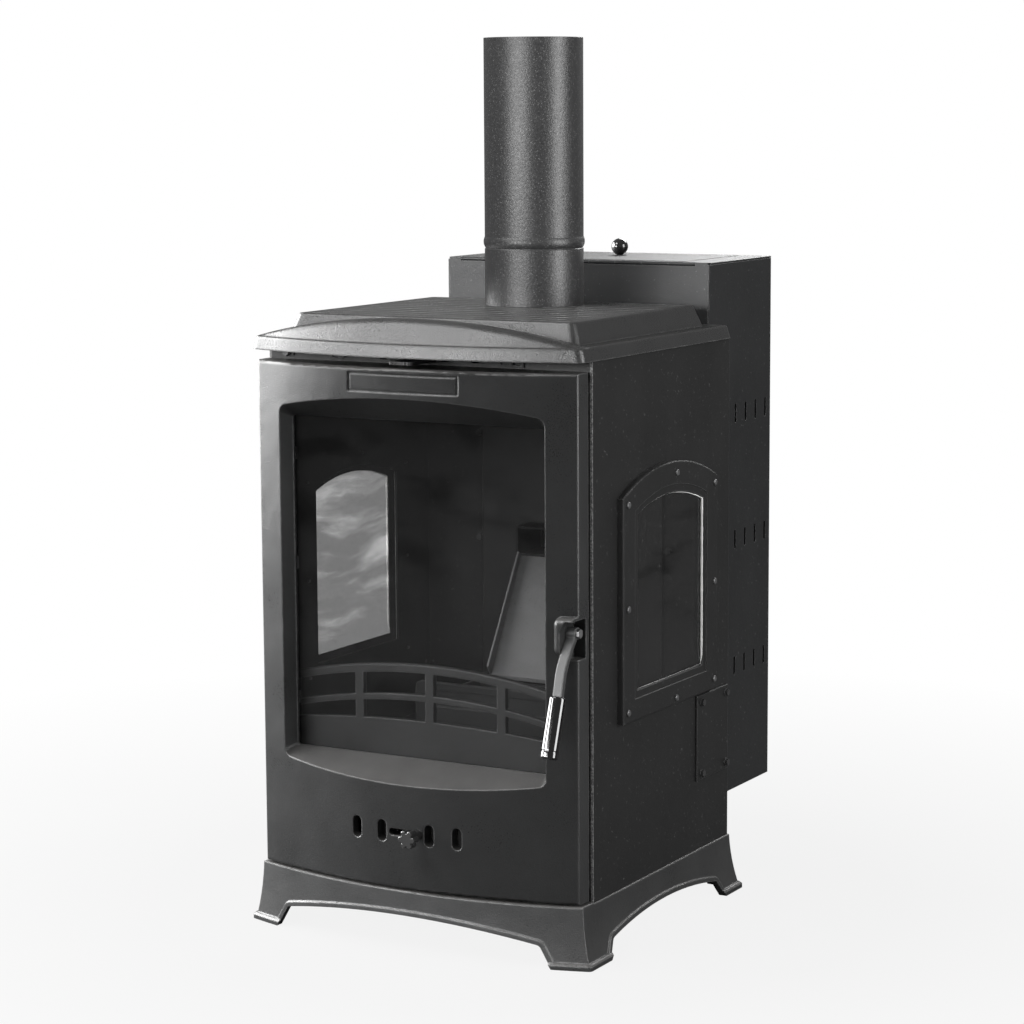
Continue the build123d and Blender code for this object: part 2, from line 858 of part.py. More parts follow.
def make_rope():
    """Rope seal pressed into its groove."""
    ring = rope_ring(rope_w - 0.4, -door_back - rope_deep, -slip)
    rear = ring.faces().sort_by(Axis.Y)[-1].edges()
    return fillet(rear, 2.0)


# Primary air


def shutter_half():
    """Half length of the shutter, long enough to cover the slots at both ends of its travel."""
    return slot_inner + slot_pitch + slot_w / 2 + shutter_off + shutter_margin - shutter_off / 2


def make_shutter():
    """Sliding plate with four windows and a rolled stiffening edge."""
    middle = door_mid + shutter_off
    y0 = -pad_back + slip / 2
    plate = along_y(Pos(middle, slot_z) * RectangleRounded(2 * shutter_half(), shutter_h, 4), y0, y0 + shutter_t)
    for x in slot_places:
        plate -= along_y(Pos(x + shutter_off, slot_z) * obround(slot_w, slot_h), -200, 0)
    return plate - rod_y(stud_r, -200, 0, middle, slot_z)


def make_stud():
    """Stud riveted to the shutter, carrying the clamping knob."""
    back = -pad_back + slip / 2 + shutter_t
    stud = rod_y(stud_r, -knob_reach + 4, back, door_mid + shutter_off, slot_z)
    rivet = rod_y(stud_r + 2.5, back, back + 2, door_mid + shutter_off, slot_z)
    return stud + rivet


def make_clamp_knob():
    """Lobed clamping knob with its boss."""
    outline = Circle(knob_r - knob_lobe_r)
    for i in range(knob_lobes):
        angle = 360.0 / knob_lobes * i
        outline += Rot(0, 0, angle) * (Pos(knob_r - knob_lobe_r, 0) * Circle(knob_lobe_r))
    middle = door_mid + shutter_off
    star = along_y(Pos(middle, slot_z) * outline, -knob_reach, -knob_reach + knob_t)
    faces = star.faces().sort_by(Axis.Y)
    star = chamfer(faces[0].edges() + faces[-1].edges(), 0.9)
    boss_end = -bow_mid - slip
    boss = rod_y(knob_boss_r, -knob_reach + knob_t - 1, boss_end, middle, slot_z)
    return star + boss - rod_y(stud_r + running, -knob_reach + 4, boss_end + 1, middle, slot_z)


def make_guides():
    """Two stepped strips that trap the shutter."""
    half = shutter_half() + shutter_off
    strips = []
    for side in (-1, 1):
        edge = shutter_h / 2 + slip
        far = edge + guide_w - 1
        near = edge - guide_lap
        y0 = -pad_back
        y1 = y0 + shutter_t + slip
        zs = sorted((slot_z + side * edge, slot_z + side * far))
        zl = sorted((slot_z + side * near, slot_z + side * far))
        strip = box(-half, half, y0, y1, zs[0], zs[1]) + box(-half, half, y1, y1 + guide_t, zl[0], zl[1])
        strip = Pos(door_mid, 0, 0) * strip
        for x, z in guide_screw_places():
            strip -= rod_y(pan_shank_r + shank_gap, -60, -40, x, z)
        strips.append(strip)
    return strips


# Top air slider


def make_top_slider():
    """Slotted strip with the pull tab."""
    y1 = -slip
    y0 = y1 - slider_t
    z = slider_z()
    strip = box(-slider_half, slider_half, y0, y1, z - slider_h / 2, z + slider_h / 2)
    for x in slider_stud_places():
        slot = SlotCenterToCenter(2 * slider_travel + 1, 2 * (hex_shank_r + slip))
        strip -= along_y(Pos(x, z) * slot, -50, 50)
    for x in air_slot_places():
        strip -= along_y(Pos(x + slider_travel, z) * Rectangle(air_slot_l, air_slot_h), -50, 50)
    tab_z = z - slider_h / 2 + 2.5
    tab = box(-tab_w / 2, tab_w / 2, -tab_reach, y0, tab_z, tab_z + tab_t)
    tab = fillet(tab.edges().filter_by(Axis.Z).sort_by(Axis.Y)[:2], 4)
    for x in (tab_w / 2 - 10, tab_w / 2 - 5):
        tab += rod_x(1.0, -x, -x + 2, -tab_reach, tab_z + tab_t / 2) & box(-x, -x + 2, -99, -tab_reach + 3, 0, 999)
        tab += box(x - 1, x + 1, -tab_reach - 1.2, -tab_reach + 6, tab_z, tab_z + tab_t)
    return strip + tab


# Hinge, keeper and fasteners


def frame_bolt_z():
    """Height of the bolt in the front frame above the door."""
    return body_top - frame_bolt_drop


def make_hinge_leaves():
    """Two leaves on the left side sheet, each with the fixed lug of its hinge."""
    leaves = []
    for z in (hinge_low_z, hinge_high_z):
        plate = box(-side_x - leaf_t, -side_x, 1, leaf_reach, z - lug_h, z + lug_h)
        plate = fillet(plate.edges().filter_by(Axis.X).sort_by(Axis.Y)[-2:], 4)
        neck = box(-side_x - leaf_t, -side_x, hinge_y, 2, z - lug_h, z - lug_gap / 2)
        leaf = plate + neck + rod_z(lug_r, z - lug_h, z - lug_gap / 2, hinge_x, hinge_y)
        leaf -= rod_z(pin_r, z - lug_h - 1, z + 1, hinge_x, hinge_y)
        for y, screw_z in hinge_screw_places():
            leaf -= rod_x(pan_shank_r + shank_gap, -side_x - leaf_t - 1, -side_x + 1, y, screw_z)
        leaves.append(leaf)
    return leaves


def make_hinge_pins():
    """Two loose-leaf pins, each with a head on its upper end."""
    pins = []
    for z in (hinge_low_z, hinge_high_z):
        pin = rod_z(pin_r, z - lug_h, z + lug_h + 0.2, hinge_x, hinge_y)
        pins.append(pin + rod_z(pin_r + 1.5, z + lug_h + 0.2, z + lug_h + 0.2 + pin_head_h, hinge_x, hinge_y))
    return pins


def make_keeper():
    """Wedge on the opening's lip that the hook bears against from below."""
    low = shaft_z + 2 + slip
    outline = Polyline((1, low + 7), (1, low + 3), (5, low), (15, low), (15, low + 12), (1, low + 12), (1, low + 7))
    return along_x(make_face(outline), hook_pocket_x, opening_half)


def hex_prism(height):
    """Hex head on its washer, rising from the seat along z."""
    head = Pos(0, 0, washer_t) * extrude(RegularPolygon(hex_af / 2, 6, major_radius=False), amount=height)
    return head + Pos(0, 0, washer_t / 2) * Cylinder(washer_r, washer_t)


def liner_bolt_places():
    """X and z of the bolts whose washers clamp the rear liner."""
    x = liner_half + washer_r + 1.2
    return [(side * x, z) for side in (-1, 1) for z in (454.0, 600.0)]


def spacer_places():
    """X and z of the spacers between body and hopper."""
    x = hopper_w / 2 - spacer_in
    return [(side * x, z) for side in (-1, 1) for z in (230.0, 690.0)]


def hex_bolt(seat, axis, grip):
    """Hex bolt seated at a point, head along +axis, shank reaching grip the other way."""
    bolt = hex_prism(hex_h) + Pos(0, 0, -grip / 2) * Cylinder(hex_shank_r, grip)
    return Plane(origin=seat, z_dir=axis) * bolt


def make_hex_bolts():
    """Every hex bolt: front frame, side covers, rear liner and hopper spacers."""
    bolts = [hex_bolt((-frame_bolt_x, 0, frame_bolt_z()), (0, -1, 0), sheet + 2)]
    for y, z in cover_bolt_places():
        for side in (-1, 1):
            bolts.append(hex_bolt((side * (side_x + cover_t), y, z), (side, 0, 0), cover_t + sheet))
    for x, z in liner_bolt_places():
        bolts.append(hex_bolt((x, back_in, z), (0, -1, 0), sheet))
    for x, z in spacer_places():
        bolts.append(hex_bolt((x, back_in, z), (0, -1, 0), sheet + hopper_gap + hopper_sheet))
    return bolts


# Handle


def lever_path():
    """Centre line of the lever in y and z, from the hub to the grip."""
    lean = math.radians(grip_lean)
    end = (-shaft_y - 39, shaft_z - 72)
    start = (-shaft_y - 4, shaft_z - 6)
    bends = [(-shaft_y - 19, shaft_z - 24), (-shaft_y - 31, shaft_z - 44)]
    return Spline([start, *bends, end], tangents=[(-0.75, -0.66), (-math.sin(lean), -math.cos(lean))])


def make_lever():
    """Cast lever: hub on the shaft and a curved flat bar."""
    middle = notch_x + 0.7 + lever_w / 2
    bar = along_x(trace(lever_path(), line_width=lever_t), middle - lever_w / 2, middle + lever_w / 2)
    hub = rod_x(lever_hub_r, middle - lever_w / 2, middle + lever_w / 2, -shaft_y, shaft_z)
    return hub + bar - rod_x(shaft_r, 0, 300, -shaft_y, shaft_z)


def make_grip():
    """Turned steel grip at the lever's end."""
    lean = math.radians(grip_lean)
    middle = notch_x + 0.7 + lever_w / 2
    origin = (middle, -shaft_y - 39, shaft_z - 72)
    grip = Pos(0, 0, grip_l / 2) * Cylinder(grip_r, grip_l)
    ends = grip.edges().filter_by(GeomType.CIRCLE)
    grip = chamfer(ends, 1.2)
    return Plane(origin=origin, x_dir=(1, 0, 0), z_dir=(0, -math.sin(lean), -math.cos(lean))) * grip


def make_shaft():
    """Shaft across the door's edge with a hex head at its open end."""
    end = notch_x + 0.7 + lever_w + 0.3
    shaft = rod_x(shaft_r, hook_pocket_x + 0.2, end, -shaft_y, shaft_z)
    head = Plane(origin=(end, -shaft_y, shaft_z), z_dir=(1, 0, 0)) * extrude(
        RegularPolygon(shaft_head_af / 2, 6, major_radius=False), amount=4)
    return shaft + head


def make_hook():
    """Hook behind the door that bears on the keeper."""
    x0 = hook_pocket_x + 1.2
    hub = rod_x(hook_hub_r, x0, x0 + hook_w, -shaft_y, shaft_z)
    top = shaft_z + 2
    far = -shaft_y + hook_reach
    outline = Polyline((-shaft_y, top), (far - 2, top), (far, top - 2), (far, top - hook_t), (-shaft_y, top - hook_t),
                       (-shaft_y, top))
    arm = along_x(make_face(outline), x0, x0 + hook_w)
    return hub + arm - rod_x(shaft_r, 0, 300, -shaft_y, shaft_z)


# Side windows and covers


def make_side_frame():
    """Cast window frame with a rebate for the glass."""
    outer = along_x(arched(frame_w, frame_low, frame_spring, frame_rise), side_x, side_x + frame_t)
    front = outer.faces().sort_by(Axis.X)[-1]
    outer = fillet(front.edges(), 2.0)
    through = along_x(arched(pane_w, pane_low, pane_spring, pane_rise), side_x - 1, side_x + frame_t + 1)
    rebate = along_x(arched(pane_w, pane_low, pane_spring, pane_rise, pane_lap + slip), side_x - 1,
                     side_x + pane_gasket + pane_t + 0.2)
    stepped = along_x(arched(pane_w, pane_low, pane_spring, pane_rise, frame_step_w), side_x + frame_t - frame_step,
                      side_x + frame_t + 1)
    frame = outer - through - rebate
    inner_edges = frame.faces().sort_by(Axis.X)[-1].inner_wires()[0].edges()
    frame = chamfer(inner_edges, 1.8 + frame_step) - stepped
    for y, z in window_screw_places():
        frame -= rod_x(pan_shank_r + shank_gap, side_x - 1, side_x + frame_t + 1, y, z)
    return frame


def make_side_glass():
    """Arched side glass."""
    x0 = side_x + pane_gasket
    return along_x(arched(pane_w, pane_low, pane_spring, pane_rise, pane_lap), x0, x0 + pane_t)


def make_side_gasket():
    """Flat gasket behind the side glass."""
    outer = arched(pane_w, pane_low, pane_spring, pane_rise, pane_lap)
    inner = arched(pane_w, pane_low, pane_spring, pane_rise, pane_reveal + 0.5)
    return along_x(outer - inner, side_x, side_x + pane_gasket)


def make_window_screws():
    """Pan head screws of both window frames and of the hinge leaves."""
    screws = []
    for y, z in window_screw_places():
        seat = side_x + frame_t
        head = rod_x(pan_head_r, seat, seat + pan_head_h, y, z)
        head = chamfer(head.edges().filter_by(GeomType.CIRCLE).sort_by(Axis.X)[-1], 1.0)
        screw = head + rod_x(pan_shank_r, side_x - sheet - 2, seat, y, z)
        screws += [screw, mirrored(screw)]
    for y, z in hinge_screw_places():
        seat = side_x + leaf_t
        head = rod_x(pan_head_r, seat, seat + pan_head_h, y, z)
        head = chamfer(head.edges().filter_by(GeomType.CIRCLE).sort_by(Axis.X)[-1], 1.0)
        screws.append(mirrored(head + rod_x(pan_shank_r, side_x - sheet - 2, seat, y, z)))
    return screws


def make_cover():
    """Lower side cover plate."""
    cover = box(side_x, side_x + cover_t, cover_y0, cover_y1, cover_z0, cover_z1)
    face = cover.faces().sort_by(Axis.X)[-1]
    cover = chamfer(face.edges(), 0.8)
    for y, z in cover_bolt_places():
        cover -= rod_x(hex_shank_r + shank_gap, side_x - 1, side_x + cover_t + 1, y, z)
    return cover


# Fire chamber


def make_fire_floor():
    """Floor of the fire chamber with the basket hole and two rows of air slots."""
    floor = box(-inner_x, inner_x, sheet + frame_lip, back_in, fire_floor_z, floor_top)
    floor += box(-opening_half, opening_half, sheet, sheet + frame_lip, fire_floor_z, floor_top)
    floor -= box(-basket_half + 12, basket_half - 12, burner_y + burner_plate_t + 12,
                 burner_y + burner_plate_t + basket_d - 12, 0, 999)
    for x in (-150, -115, 115, 150):
        floor -= Pos(x, 200, floor_top) * extrude(SlotOverall(90, 10, rotation=90), amount=20, both=True)
    return floor


def band(top_z, top_sag, low_z, low_sag):
    """Face between two arcs across the fence."""
    half = fence_half
    upper = ThreePointArc((-half, top_z - top_sag), (0, top_z), (half, top_z - top_sag))
    lower = ThreePointArc((-half, low_z - low_sag), (0, low_z), (half, low_z - low_sag))
    right = Line((half, top_z - top_sag), (half, low_z - low_sag))
    left = Line((-half, low_z - low_sag), (-half, top_z - top_sag))
    return make_face(upper + right + lower + left)


def make_fence():
    """Cast fence with an arched head and two rows of openings."""
    edge_z = fence_top - fence_sag
    head_line = ThreePointArc((-fence_half, edge_z), (0, fence_top), (fence_half, edge_z))
    foot_line = Polyline((fence_half, edge_z), (fence_half, floor_top), (-fence_half, floor_top),
                         (-fence_half, edge_z))
    solid_face = make_face(head_line + foot_line)
    rows = band(fence_top - 11, fence_sag, fence_top - 39, fence_sag - 1)
    rows += band(fence_top - 47, fence_sag - 1, fence_top - 72.5, fence_sag - 14)
    half_bar = fence_bar_w / 2
    columns = [(half_bar, fence_bar_x - half_bar), (fence_bar_x + half_bar, fence_half - 7)]
    windows = Sketch()
    for x0, x1 in columns:
        for side in (-1, 1):
            strip = Pos(side * (x0 + x1) / 2, fence_top - 60) * Rectangle(x1 - x0, 160)
            windows += rows & strip
    fence = along_y(solid_face, slip, slip + fence_t)
    head = fence.faces().sort_by(Axis.Y)[0].edges().sort_by(Axis.Z)[-1]
    return chamfer(head, 1.5) - along_y(windows, -1, slip + fence_t + 1)


def make_liner():
    """Rear liner plate with the opening for the throat."""
    plate = box(-liner_half, liner_half, back_in - liner_t, back_in, floor_top, liner_top)
    return plate - box(-throat_half, throat_half, 0, 999, throat_z0, throat_z1)


def baffle_z(y):
    """Height of the baffle's underside at y."""
    share = (back_in - y) / (back_in - baffle_front)
    return baffle_low + (baffle_high - baffle_low) * share


def sloped_plate(half0, half1, y0, y1, low, high):
    """Plate parallel to the baffle between two y values and two offsets from its underside."""
    points = [(y0, baffle_z(y0) + low), (y1, baffle_z(y1) + low), (y1, baffle_z(y1) + high), (y0, baffle_z(y0) + high)]
    return along_x(make_face(Polyline(*points, points[0])), half0, half1)


def make_baffle():
    """Baffle plate under the flue."""
    half = inner_x - baffle_gap
    return sloped_plate(-half, half, baffle_front, back_in, 0, baffle_t)


def make_rests():
    """Ledges on the side sheets that carry the baffle."""
    rests = []
    for y in (150, 330):
        for side in (-1, 1):
            xs = sorted((side * inner_x, side * (inner_x - rest_w)))
            rests.append(sloped_plate(xs[0], xs[1], y - 20, y + 20, -rest_t, 0))
    return rests


def make_burner_front():
    """Upright plate in front of the basket with a bare sunk field."""
    low = floor_top
    plate = box(-burner_plate_half, burner_plate_half, burner_y, burner_y + burner_plate_t, low, burner_plate_top)
    plate = fillet(plate.edges().filter_by(Axis.Y).sort_by(Axis.Z)[-2:], 8)
    field = box(-burner_plate_half + 16, burner_plate_half - 16, burner_y - 1, burner_y + 1, burner_plate_top - 32,
                burner_plate_top - 10)
    return plate - field


def make_basket():
    """Open basket with slotted walls and floor."""
    y0 = burner_y + burner_plate_t
    y1 = y0 + basket_d
    top = floor_top + basket_h
    basket = box(-basket_half, basket_half, y0, y1, floor_top, top)
    basket -= box(-basket_half + basket_t, basket_half - basket_t, y0 + basket_t, y1 - basket_t, floor_top + basket_t,
                  top + 1)
    for i in range(5):
        y = y0 + 18 + i * (basket_d - 36) / 4
        basket -= box(-basket_half + 15, basket_half - 15, y - 3, y + 3, floor_top - 1, floor_top + basket_t + 1)
        basket -= along_x(Pos(y, floor_top + basket_h / 2) * obround(6, basket_h - 30), -basket_half - 1,
                          basket_half + 1)
    return basket


def make_ash_pan():
    """Folded ash pan with a turned front lip."""
    low = plinth_h + sheet
    pan = box(-pan_half, pan_half, pan_y0, pan_y1, low, low + pan_h)
    pan -= box(-pan_half + pan_t, pan_half - pan_t, pan_y0 + pan_t, pan_y1 - pan_t, low + pan_t, low + pan_h + 1)
    return pan + box(-45, 45, pan_y0 - 14, pan_y0, low + pan_h - 2 * pan_t, low + pan_h)


# Feed


def make_throat():
    """Rectangular throat from the bin into the fire chamber, with a flange behind the body."""
    tube = box(-throat_half, throat_half, throat_in, hopper_front_y + bin_inset, throat_z0, throat_z1)
    flange_plate = box(-throat_half - 15, throat_half + 15, body_d, body_d + hopper_gap, throat_z0 - 15, throat_z1 + 15)
    hole = box(-throat_half + throat_t, throat_half - throat_t, 0, 999, throat_z0 + throat_t, throat_z1 - throat_t)
    return tube + flange_plate - hole


def make_chute():
    """Bent chute plate with turned side lips, hung under the throat's mouth."""
    top = throat_z0
    slope = math.atan2(top - chute_end_z, throat_in - chute_end_y)
    drop = chute_t / math.cos(slope)
    bend_y = throat_in - 1
    line = [(throat_in + 18, top), (bend_y, top), (chute_end_y, chute_end_z)]
    under = [(chute_end_y, chute_end_z - drop), (bend_y + 0.3, top - drop), (bend_y + 1.2, top - chute_t)]
    plate = along_x(make_face(Polyline(*line, *under, (throat_in + 18, top - chute_t), line[0])), -chute_half,
                    chute_half)
    lip_face = make_face(Polyline((bend_y, top), (chute_end_y, chute_end_z), (chute_end_y - 8, chute_end_z + chute_lip),
                                  (bend_y - 6, top + chute_lip - 6), (bend_y, top)))
    lips = along_x(lip_face, -chute_half, -chute_half + chute_t) + along_x(lip_face, chute_half - chute_t, chute_half)
    return plate + lips


# Hopper


def seam_levels():
    """Z of the seam tabs down the hopper's upright edges."""
    count = int((hopper_high - hopper_low - seam_first - seam_tab) / seam_pitch)
    return [hopper_high - seam_first - 26 - i * seam_pitch for i in range(count)]


def seam_tabs(y0, y1):
    """Tabs of a cross sheet that reach through both side sheets."""
    tabs = box(-hopper_half, hopper_half, y0, y1, hopper_high - seam_first, hopper_high)
    for z in seam_levels():
        tabs += box(-hopper_half, hopper_half, y0, y1, z - seam_tab, z)
    return tabs


def make_hopper_front():
    """Front sheet of the hopper with its seam tabs and the throat's opening."""
    y0 = hopper_front_y
    y1 = y0 + hopper_sheet
    wall = box(-hopper_half + hopper_sheet, hopper_half - hopper_sheet, y0, y1, hopper_low, hopper_high)
    wall += seam_tabs(y0, y1)
    wall -= box(-hinge_half - 0.5, hinge_half + 0.5, y0 - 1, y1 + 1, hopper_high - hinge_notch, hopper_high + 1)
    for side in (-1, 1):
        pad_x = sorted((side * (hinge_half + 0.5), side * (hinge_half + 0.5 + pad_w)))
        wall += box(*pad_x, y0, y0 + 2 * hinge_r + 0.1, hopper_high, lid_low() + lid_t)
    wall -= box(-throat_half, throat_half, y0 - 1, y1 + 1, throat_z0, throat_z1)
    for x, z in spacer_places():
        wall -= rod_y(hex_shank_r + shank_gap, y0 - 1, y1 + 1, x, z)
    return wall


def make_hopper_back():
    """Back sheet of the hopper with its seam tabs and foot flange."""
    y1 = hopper_back_y
    y0 = y1 - hopper_sheet
    wall = box(-hopper_half + hopper_sheet, hopper_half - hopper_sheet, y0, y1, hopper_low, hopper_high)
    wall += seam_tabs(y0, y1)
    foot = box(-hopper_half + hopper_sheet, hopper_half - hopper_sheet, y0 - 15, y0, hopper_low,
               hopper_low + hopper_sheet)
    return wall + foot


def make_hopper_side():
    """Right side sheet of the hopper with its vent slots."""
    wall = box(hopper_half - hopper_sheet, hopper_half, hopper_front_y, hopper_back_y, hopper_low, hopper_high)
    wall -= seam_tabs(hopper_front_y, hopper_front_y + hopper_sheet)
    wall -= seam_tabs(hopper_back_y - hopper_sheet, hopper_back_y)
    pitch = (hopper_d - 2 * vent_edge) / (vent_cols - 1)
    for z in vent_rows:
        for i in range(vent_cols):
            y = hopper_front_y + vent_edge + vent_shift + pitch * i
            wall -= along_x(Pos(y, z) * obround(vent_w, vent_h), 0, hopper_half + 1)
    return wall


def make_hopper_rim():
    """Flange ring inside the hopper's mouth that carries the bin."""
    half = hopper_half - hopper_sheet
    y0 = hopper_front_y + hopper_sheet
    y1 = hopper_back_y - hopper_sheet
    ring = box(-half, half, y0, y1, rim_z, rim_z + hopper_sheet)
    ring -= box(-hinge_half - 0.5, hinge_half + 0.5, y0 - 1, y0 + hinge_leaf_t + slip, rim_z - 1, rim_z + 5)
    return ring - box(-bin_half - slip, bin_half + slip, bin_front() - slip, bin_rear() + slip, rim_z - 1, rim_z + 5)


def bin_front():
    """Y of the bin's front wall."""
    return hopper_front_y + bin_inset


def bin_rear():
    """Y of the bin's rear wall."""
    return hopper_back_y - bin_inset


def bin_block(inset, low, top):
    """Bin form: upright box over a funnel that ends at the throat."""
    y0 = bin_front() + inset
    y1 = bin_rear() - inset
    half = bin_half - inset
    upper = box(-half, half, y0, y1, bin_knee, top)
    foot_half = throat_half - inset
    foot_y1 = bin_front() + bin_foot_d - inset
    wide = Pos(0, (y0 + y1) / 2, bin_knee) * Rectangle(2 * half, y1 - y0)
    narrow = Pos(0, (y0 + foot_y1) / 2, low) * Rectangle(2 * foot_half, foot_y1 - y0)
    return upper + loft([narrow, wide])


def make_bin():
    """Pellet bin with its funnel, front outlet and top flange."""
    flange_z = rim_z + hopper_sheet
    shell = bin_block(0, throat_z0, flange_z + bin_t)
    shell += box(-bin_half - 12, bin_half + 12, bin_front() - 3, bin_rear() + 4, flange_z, flange_z + bin_t)
    shell -= bin_block(bin_t, throat_z0 + bin_t, flange_z + bin_t + 1)
    hole = box(-throat_half + throat_t, throat_half - throat_t, bin_front() - 1, bin_front() + bin_t + 1,
               throat_z0 + throat_t, throat_z1 - throat_t)
    return shell - hole


def make_spacers():
    """Spacer bushes between body and hopper."""
    bushes = []
    for x, z in spacer_places():
        bushes.append(rod_y(8, body_d, hopper_front_y, x, z) - rod_y(hex_shank_r + shank_gap, 0, 999, x, z))
    return bushes


def lid_low():
    """Underside of the lid."""
    return hopper_high + lid_gap


def hinge_place():
    """Y and z of the lid's hinge axis."""
    return hopper_front_y + hinge_r, lid_low() + lid_t - hinge_r


def lid_front():
    """Y of the lid's front edge, clear of the hinge barrel and its end pads."""
    return hopper_front_y + 2 * hinge_r + hinge_clear


def make_lid():
    """Hopper lid: flat plate with a pressed-up field, a peep slot and the knob's hole."""
    z0 = lid_low()
    lid = box(-hopper_half, hopper_half, lid_front(), hopper_back_y, z0, z0 + lid_t)
    lid = chamfer(lid.faces().sort_by(Axis.Z)[-1].edges(), 0.6)
    middle = (lid_field_y0 + lid_field_y1) / 2
    field = RectangleRounded(2 * lid_field_half, lid_field_y1 - lid_field_y0, 4)
    lid += Pos(0, middle, z0 + lid_t) * extrude(field, amount=lid_field_up)
    lid -= Pos(0, middle, z0) * extrude(offset(field, amount=-2), amount=lid_field_up)
    lid -= Pos(hopper_half - 12, middle + 6, z0 + lid_t / 2) * Box(3, 10, 9)
    lid -= rod_z(ball_stud_r + shank_gap, z0 - 1, z0 + 9, 0, ball_y)
    return lid


def knuckle_spans(first):
    """X spans of every second knuckle."""
    length = 2 * hinge_half / knuckles
    return [(-hinge_half + i * length + 0.15, -hinge_half + (i + 1) * length - 0.15)
            for i in range(first, knuckles, 2)]


def make_hinge_fixed():
    """Leaf and knuckles of the long hinge, inside the hopper's front sheet."""
    y, z = hinge_place()
    leaf_y0 = hopper_front_y + hopper_sheet
    leaf_y1 = leaf_y0 + hinge_leaf_t
    leaf_top = z - hinge_r - 0.2
    leaf = box(-hinge_half, hinge_half, leaf_y0, leaf_y1, leaf_top - hinge_leaf_h, leaf_top)
    for x0, x1 in knuckle_spans(0):
        leaf += rod_x(hinge_r, x0, x1, y, z) + box(x0, x1, leaf_y0, leaf_y1, leaf_top - 1, z)
    return leaf - rod_x(hinge_pin_r, -hinge_half - 1, hinge_half + 1, y, z)


def make_hinge_moving():
    """Knuckles that carry the lid's front edge."""
    y, z = hinge_place()
    pieces = []
    for x0, x1 in knuckle_spans(1):
        roll = rod_x(hinge_r, x0, x1, y, z)
        arm = box(x0, x1, y, lid_front(), z + 0.4, lid_low() + lid_t - 0.2)
        pieces.append(roll + arm - rod_x(hinge_pin_r + running, -300, 300, y, z))
    return pieces


def make_hinge_pin():
    """Pin of the long hinge."""
    y, z = hinge_place()
    return rod_x(hinge_pin_r, -hinge_half - 0.5, hinge_half + 0.5, y, z)


def make_ball():
    """Ball knob with a flat foot."""
    top = lid_low() + lid_t + lid_field_up
    ball = Pos(0, ball_y, top + ball_r - 0.6) * Sphere(ball_r)
    ball &= box(-50, 50, ball_y - 50, ball_y + 50, top, top + 50)
    return ball - rod_z(ball_stud_r, top - 1, top + 9, 0, ball_y)


def make_ball_stud():
    """Stud of the ball knob with its nut under the lid."""
    top = lid_low() + lid_t + lid_field_up
    low = lid_low() + lid_field_up
    stud = rod_z(ball_stud_r, low - 5, top + 9, 0, ball_y)
    nut = Pos(0, ball_y, low - 4.2) * extrude(RegularPolygon(5, 6, major_radius=False), amount=4.2)
    return stud + nut


def group(solids):
    """Separate solids kept together in one node."""
    return Compound(children=[solid for solid in solids])


pieces = {
    "plinth": make_plinth(),
    "body_side_right": make_side(),
    "body_side_left": make_left_side(),
    "body_front_frame": make_front_frame(),
    "body_back": make_back(),
    "body_floor": make_floor(),
    "top_plate": make_top_plate(),
    "flue_collar": make_collar(),
    "flue_pipe": make_pipe(),
    "fire_floor": make_fire_floor(),
    "rear_liner": make_liner(),
    "baffle": make_baffle(),
    "baffle_rests": group(make_rests()),
    "fence": make_fence(),
    "burner_front": make_burner_front(),
    "burner_basket": make_basket(),
    "ash_pan": make_ash_pan(),
    "chute": make_chute(),
    "feed_throat": make_throat(),
    "latch_keeper": make_keeper(),
    "hinge_leaves": group(make_hinge_leaves()),
    "hinge_pins": group(make_hinge_pins()),
    "hex_bolts": group(make_hex_bolts()),
    "top_air_slider": make_top_slider(),
    "door_casting": make_door(),
    "door_glass": make_door_glass(),
    "door_glass_gasket": make_glass_gasket(),
    "glass_clips": group(make_glass_clips()),
    "door_screws": group(make_door_screws()),
    "door_rope": make_rope(),
    "shutter_guides": group(make_guides()),
    "air_shutter": make_shutter(),
    "shutter_stud": make_stud(),
    "clamp_knob": make_clamp_knob(),
    "handle_lever": make_lever(),
    "handle_grip": make_grip(),
    "latch_shaft": make_shaft(),
    "latch_hook": make_hook(),
    "side_frame_right": make_side_frame(),
    "side_frame_left": mirrored(make_side_frame()),
    "side_glass_right": make_side_glass(),
    "side_glass_left": mirrored(make_side_glass()),
    "side_gasket_right": make_side_gasket(),
    "side_gasket_left": mirrored(make_side_gasket()),
    "window_screws": group(make_window_screws()),
    "side_cover_right": make_cover(),
    "side_cover_left": mirrored(make_cover()),
    "hopper_front": make_hopper_front(),
    "hopper_back": make_hopper_back(),
    "hopper_side_right": make_hopper_side(),
    "hopper_side_left": mirrored(make_hopper_side()),
    "hopper_rim": make_hopper_rim(),
    "pellet_bin": make_bin(),
    "hopper_spacers": group(make_spacers()),
    "hopper_lid": make_lid(),
    "lid_hinge_fixed": make_hinge_fixed(),
    "lid_hinge_moving": group(make_hinge_moving()),
    "lid_hinge_pin": make_hinge_pin(),
    "lid_knob": make_ball(),
    "lid_knob_stud": make_ball_stud(),
}

# The finished pieces move along y so that the origin is under the middle of the whole stove.
front_reach = min(piece.bounding_box().min.Y for piece in pieces.values())
rear_reach = max(piece.bounding_box().max.Y for piece in pieces.values())
shift_y = -(front_reach + rear_reach) / 2
for name, piece in pieces.items():
    export_step(Pos(0, shift_y, 0) * piece, f"parts/{name}.step")
print("pieces", len(pieces), "shift_y", round(shift_y, 4))
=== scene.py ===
# %% [markdown]
# A pellet stove, dressed for a picture.
# The stove's pieces come from the CAD frame and already stand where they belong. This script gives
# each one its finish, adds the soft and turned pieces that a CAD solid only stands for, and sets the
# floor, the lamps and the camera. Every cell prints what it made, so it can be read like a notebook.

# %% Load the frame
import json
import math
import bmesh
import bpy
import numpy as np
from mathutils import Matrix, Vector

